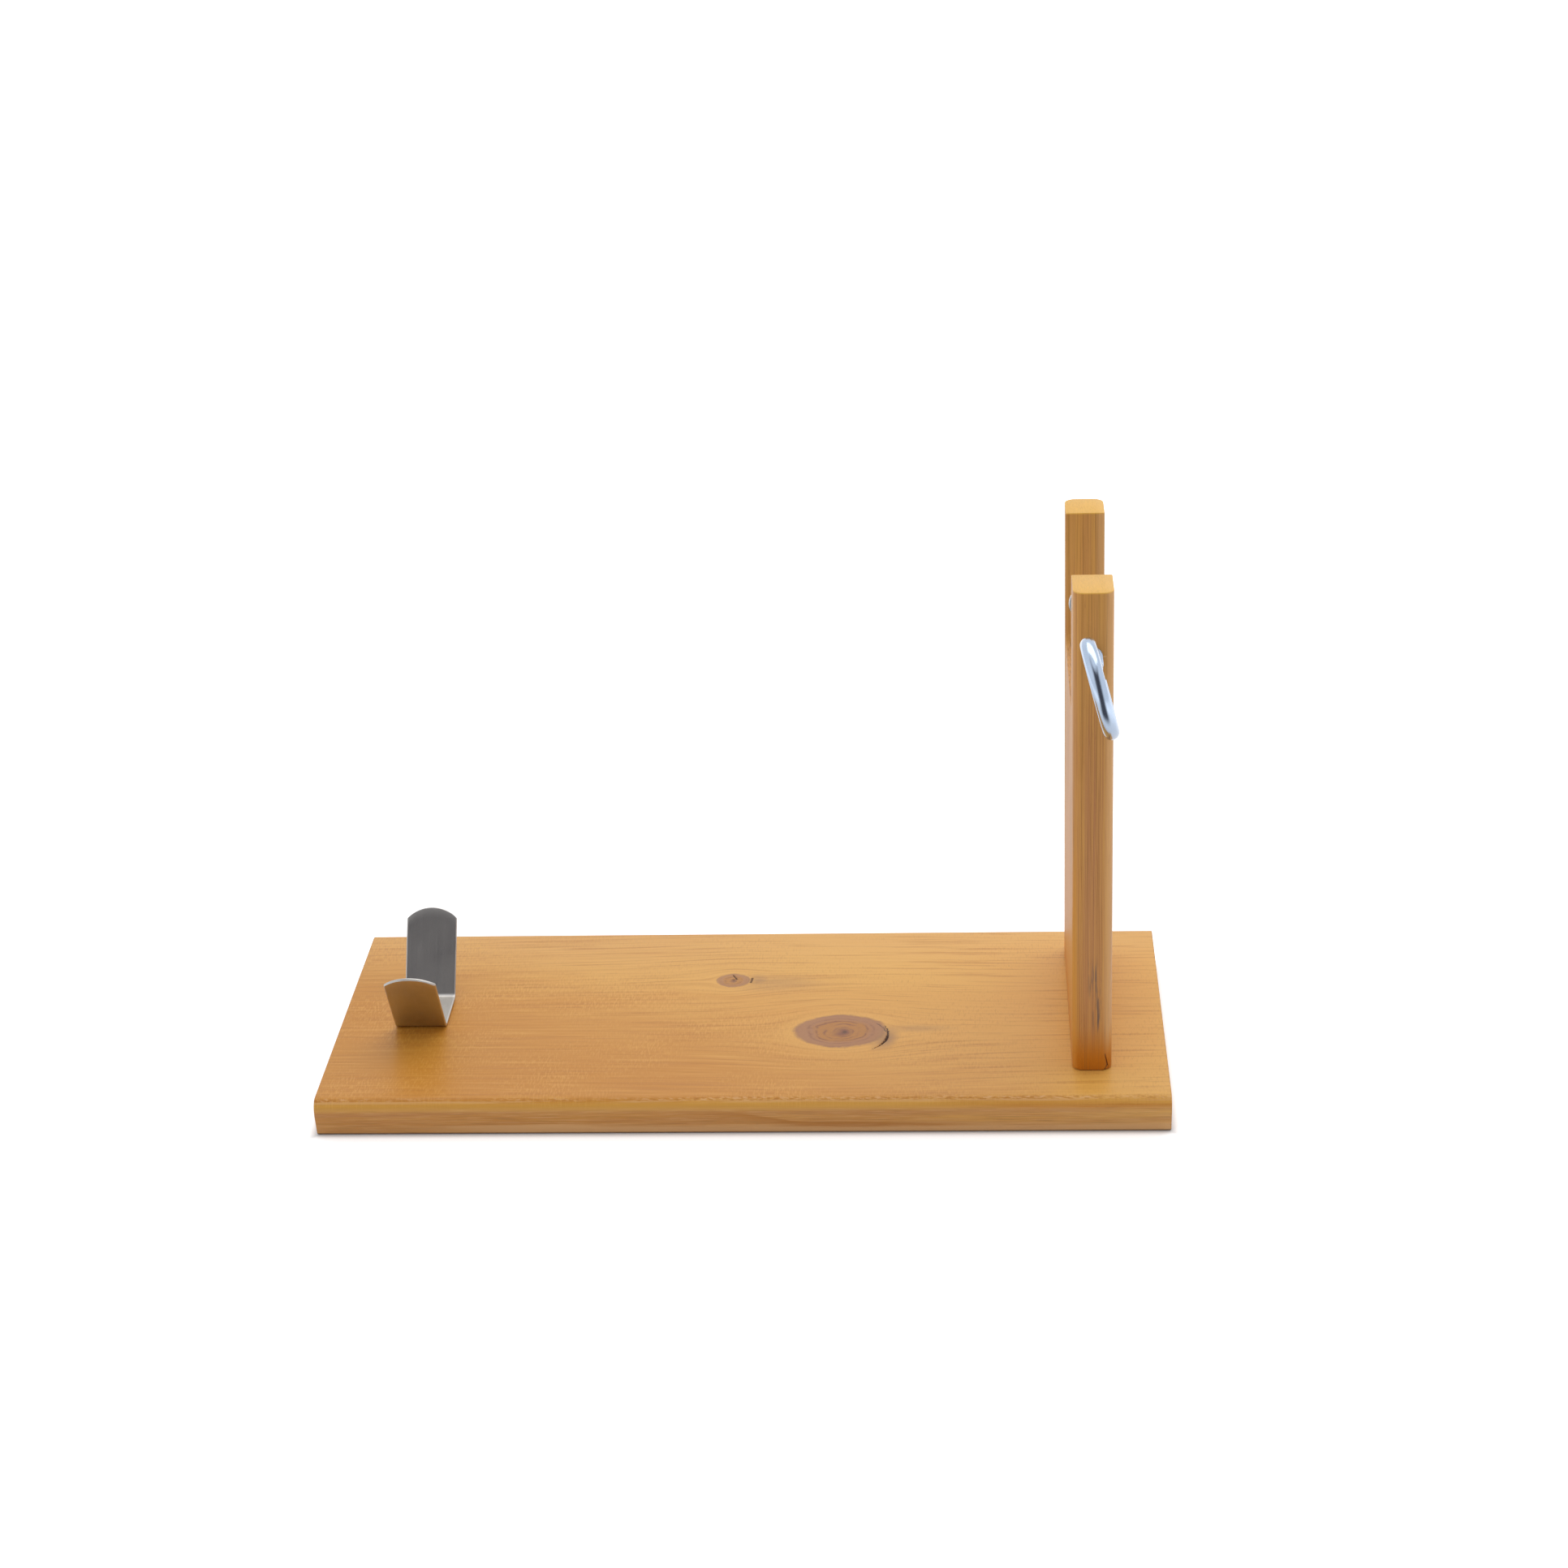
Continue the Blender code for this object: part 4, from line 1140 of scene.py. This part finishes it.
def build_cradle():
    columns, flat_rows, bend_rows, flap_rows = 28, 4, 14, 8
    half = (CRADLE_HIGH.x - CRADLE_LOW.x) / 2
    shorter = CRADLE_FOLD_RADIUS * math.tan(CRADLE_SLOPE / 2)
    flat, bent = CRADLE_FOLD - shorter, CRADLE_FOLD_RADIUS * CRADLE_SLOPE
    end_radius = (half**2 + CRADLE_CROWN**2) / (2 * CRADLE_CROWN)
    rows = flat_rows + bend_rows + flap_rows
    bm = bmesh.new()
    bmesh.ops.create_grid(bm, x_segments=columns, y_segments=2 * rows, size=1)
    for vert in bm.verts:
        x, row = half * vert.co.x, round(abs(vert.co.y) * rows)
        crown = math.sqrt(end_radius**2 - x**2) - math.sqrt(end_radius**2 - half**2)
        flap = CRADLE_FLAP - shorter + crown
        if row <= flat_rows:
            station = flat * row / flat_rows
        elif row <= flat_rows + bend_rows:
            station = flat + bent * (row - flat_rows) / bend_rows
        else:
            station = flat + bent + flap * (row - flat_rows - bend_rows) / flap_rows
        y, z = folded(station)
        vert.co = (CRADLE_X + x, math.copysign(y, vert.co.y), CRADLE_LOW.z + z)
    obj = new_object("strip", mesh_of(bm, "strip"))
    plate = obj.modifiers.new("plate", "SOLIDIFY")
    plate.thickness = CRADLE_THICKNESS
    plate.offset = 1
    plate.use_even_offset = True
    mesh = eased(baked(obj), CRADLE_EDGE_ROUND, segments=3)
    mesh = shade(cut(mesh, [pan_hole(node) for node in CRADLE_SCREWS]))
    finish = metal("satin_stainless")
    piece("cradle_strip_stainless", mesh, finish, "stand", ["cradle_strip"])


# Screws


def screw_hole(node):
    """Countersunk hole for a wood screw, open below."""
    low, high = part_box(node)
    gap, rim = SCREW_CLEARANCE, low.z + WOOD_HEAD_RIM
    shank, head = WOOD_SHANK_RADIUS + gap, WOOD_HEAD_RADIUS + gap
    profile = [(0, high.z + gap), (shank, high.z - HOLE_POINT), (shank, rim + head - shank)]
    profile += [(head, rim), (head, -CUT_PAST), (0, -CUT_PAST)]
    return bored(profile, node)


def pan_hole(node):
    """Hole for a pan-head screw, from over its seat down to its point."""
    low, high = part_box(node)
    radius, top = PAN_SHANK_RADIUS + SCREW_CLEARANCE, high.z - PAN_HEAD_HEIGHT + CUT_PAST
    profile = [(0, top), (radius, top), (radius, low.z + HOLE_POINT), (0, low.z - SCREW_CLEARANCE)]
    return bored(profile, node)


def cross_recess(size, depth, facing):
    """Cutters for a cross recess in a head at the origin: two blades across each other that taper inwards."""
    blades = []
    for turn in (0.0, QUARTER):
        bm = bmesh.new()
        bmesh.ops.create_cone(
            bm, cap_ends=True, segments=4, radius1=RECESS_FLOOR * size, radius2=RECESS_MOUTH * size,
            depth=depth * 2, matrix=Matrix.Rotation(math.pi / 4, 4, "Z"),
        )
        slim = Matrix.Rotation(turn, 4, "Z") @ Matrix.Diagonal((1, RECESS_SLIM, 1, 1))
        bmesh.ops.transform(bm, verts=bm.verts, matrix=facing @ slim)
        blades.append(mesh_of(bm, "blade"))
    return blades


def screw_row_tree():
    """Sets copies of one screw in a row."""
    tree, given, sockets = new_tree("screw_row", {
        "Geometry": "Geometry", "Count": "Int", "First": "Vector", "Step": "Vector", "Finish": "Material",
    })
    line = {"Count": given["Count"], "Start Location": given["First"], "Offset": given["Step"]}
    row = add(tree, "GeometryNodeMeshLine", line)
    index = Value(tree, add(tree, "GeometryNodeInputIndex").outputs[0])
    turn = vector(tree, z=index * NEXT_TURN + FIRST_TURN)
    placed = {"Points": row.outputs[0], "Instance": given["Geometry"], "Rotation": turn}
    end_tree(tree, add(tree, "GeometryNodeInstanceOnPoints", placed), given["Finish"])
    return tree, sockets


def build_screws(name, nodes, profile, upward, thread, recess, finish):
    """Screws of one profile (distance from the head's face, radius), one for each node."""
    low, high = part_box(nodes[0])
    if upward:
        way, face, facing = 1, low.z, Matrix.Rotation(math.pi, 4, "X")
    else:
        way, face, facing = -1, high.z, Matrix.Identity(4)
    path = [Vector((0, 0, way * along)) for along, _ in profile]
    mesh = threaded(path, [radius for _, radius in profile], {**thread, "Finish": finish})
    mesh = cut(mesh, cross_recess(*recess, facing))
    middles = [sum(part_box(node), Vector()) / 2 for node in nodes]
    step = (middles[-1] - middles[0]) / (len(nodes) - 1)
    mesh = grow(new_object("row", mesh), *SCREW_ROW, {
        "Count": len(nodes), "First": (middles[0].x, middles[0].y, face), "Step": (step.x, step.y, 0.0),
        "Finish": finish,
    })
    piece(name, shade(mesh), finish, "stand", nodes)


def screw_end(length, point, core):
    """End of a screw's profile, from its thread to its point."""
    return [(length - point, core), (length - SCREW_TIP_LENGTH, SCREW_TIP_RADIUS), (length, 0.0)]


def build_all_screws():
    finish = metal("zinc_plate")
    low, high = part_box(UPRIGHT_SCREWS[0])
    length, head, shank, rim = high.z - low.z, WOOD_HEAD_RADIUS, WOOD_SHANK_RADIUS, WOOD_HEAD_RIM
    profile = [(0.0, head - WOOD_HEAD_EASING), (WOOD_HEAD_EASING, head), (rim, head)]
    profile += [(rim + head - shank, shank), (WOOD_PLAIN, shank), (WOOD_PLAIN + WOOD_STEP, WOOD_CORE_RADIUS)]
    profile += screw_end(length, WOOD_POINT, WOOD_CORE_RADIUS)
    thread = {**WOOD_THREAD, "From": WOOD_PLAIN, "To": length - WOOD_STEP}
    build_screws("upright_wood_screws", UPRIGHT_SCREWS, profile, True, thread, WOOD_RECESS, finish)

    low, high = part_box(CRADLE_SCREWS[0])
    length, seat = high.z - low.z, PAN_HEAD_HEIGHT
    profile = [(seat * (1 - s), PAN_HEAD_RADIUS * c) for c, s in arc((0, 0), 1, QUARTER, 0, 12)]
    profile += [(seat + WELD, PAN_SHANK_RADIUS), (seat + PAN_PLAIN, PAN_SHANK_RADIUS)]
    profile += [(seat + PAN_PLAIN + PAN_STEP, PAN_CORE_RADIUS)]
    profile += screw_end(length, PAN_POINT, PAN_CORE_RADIUS)
    thread = {**PAN_THREAD, "From": seat + PAN_PLAIN, "To": length - PAN_STEP}
    build_screws("cradle_pan_screws", CRADLE_SCREWS, profile, False, thread, PAN_RECESS, finish)


# Camera, floor and light


def build_camera():
    right = Vector((math.cos(CAMERA_YAW), math.sin(CAMERA_YAW), 0))
    level = math.cos(CAMERA_PITCH)
    ahead = Vector((-math.sin(CAMERA_YAW) * level, math.cos(CAMERA_YAW) * level, -math.sin(CAMERA_PITCH)))
    up = right.cross(ahead)
    image_right = right * math.cos(CAMERA_ROLL) + up * math.sin(CAMERA_ROLL)
    image_up = up * math.cos(CAMERA_ROLL) - right * math.sin(CAMERA_ROLL)
    turn = Matrix((image_right, image_up, -ahead)).transposed()
    data = bpy.data.cameras.new("camera")
    data.sensor_width = SENSOR_WIDTH
    data.lens = FOCAL_PIXELS / PHOTO_SIDE * SENSOR_WIDTH
    camera = new_object("camera", data)
    camera.matrix_world = Matrix.Translation(CAMERA_PLACE) @ turn.to_4x4()
    bpy.context.scene.camera = camera


def rays(tree, *kinds):
    """1 for rays of each kind."""
    paths = add(tree, "ShaderNodeLightPath").outputs
    return [Value(tree, paths[f"Is {kind} Ray"]) for kind in kinds]


def build_floor():
    """White floor: it takes the shadow, glows white further off, and is clear from below and under the base.

    Bright metal mirrors a dark gap in front of the stand, below the one in the room's light.
    """
    bm = bmesh.new()
    bmesh.ops.create_grid(bm, x_segments=1, y_segments=1, size=FLOOR_HALF)
    bmesh.ops.translate(bm, verts=bm.verts, vec=(0, 0, -FLOOR_GAP))
    floor = new_object("floor", mesh_of(bm, "floor"))
    material, tree, shader, (x, y, _) = new_material("floor_white")
    camera, glossy, through = rays(tree, "Camera", "Glossy", "Transmission")
    far = distance(x, y).rise(0.30, 0.90)
    clear_of = (abs(x) - BASE_HIGH.x).most(abs(y) - BASE_HIGH.y + BASE_UNDERCUT_DEPTH)
    glow = camera * (far * 0.60 + clear_of.rise(-0.001, 0.005) * 0.52)
    feed_all(tree, shader, {
        "Base Color": (*FLOOR_WHITE, 1.0), "Roughness": 1.0, "Specular IOR Level": 0.0,
        "Emission Color": (1.0, 1.0, 1.0, 1.0),
        "Emission Strength": glow + glossy.most(through) * (far * 0.40 + 0.12),
    })
    aside = abs(x - CLAMP_X)
    reach = (aside * aside + (y - EYE_Y) ** 2.0 + CLAMP_Z**2).root()
    gap = glossy * (aside / reach).rise(*GAP_ASIDE) * y.rise(BASE_LOW.y - 0.080, BASE_LOW.y - 0.260)
    shaded = add(tree, "ShaderNodeEmission", {"Color": (*GAP_COLOUR, 1.0)})
    clear = add(tree, "ShaderNodeBsdfTransparent")
    below = Value(tree, add(tree, "ShaderNodeNewGeometry").outputs["Backfacing"])
    unseen = below.most(clear_of.rise(-0.0012, -0.0018))
    surface = shader
    for share, other in ((gap, shaded), (unseen, clear)):
        surface = add(tree, "ShaderNodeMixShader", {0: share, 1: surface.outputs[0], 2: other.outputs[0]})
    feed(tree, tree.nodes["Material Output"].inputs["Surface"], surface.outputs[0])
    floor.data.materials.append(material)


def soft_lamp(name, place, power):
    """A wide lamp aimed at the origin."""
    data = bpy.data.lights.new(name, "AREA")
    data.shape = "RECTANGLE"
    data.size, data.size_y = LAMP_SIZE
    data.energy = power
    data.color = LAMP_COLOUR
    lamp = new_object(name, data)
    lamp.location = place
    lamp.rotation_euler = (-lamp.location).to_track_quat("-Z", "Y").to_euler()
    return lamp


def build_light():
    """A bright room with a dark gap low in front, and soft lamps. The camera sees white."""
    world = bpy.data.worlds.new("studio")
    bpy.context.scene.world = world
    world.use_nodes = True
    tree = world.node_tree
    toward = add(tree, "ShaderNodeSeparateXYZ", {0: add(tree, "ShaderNodeTexCoord").outputs["Generated"]})
    x, y, z = (Value(tree, socket) for socket in toward.outputs)
    front = abs(x).rise(*GAP_ASIDE) * y.rise(0.30, -0.10) * z.rise(0.99, 0.80) * z.rise(-0.12, -0.02)
    paint = Paint(tree, ROOM_WHITE)
    paint.over(front, GAP_COLOUR)
    paint.over(*rays(tree, "Camera"), (1.0, 1.0, 1.0))
    feed(tree, tree.nodes["Background"].inputs["Color"], paint.colour)
    soft_lamp("overhead", *OVERHEAD_LAMP)
    fill = soft_lamp("fill", *FILL_LAMP)
    fill.visible_glossy = False


bpy.context.scene.view_settings.view_transform = "Standard"
THREADED = threaded_tree()
SCREW_ROW = screw_row_tree()
build_camera()
build_floor()
build_light()
build_base()
build_upright()
build_clamp()
build_insert()
build_pad()
build_cradle()
build_all_screws()
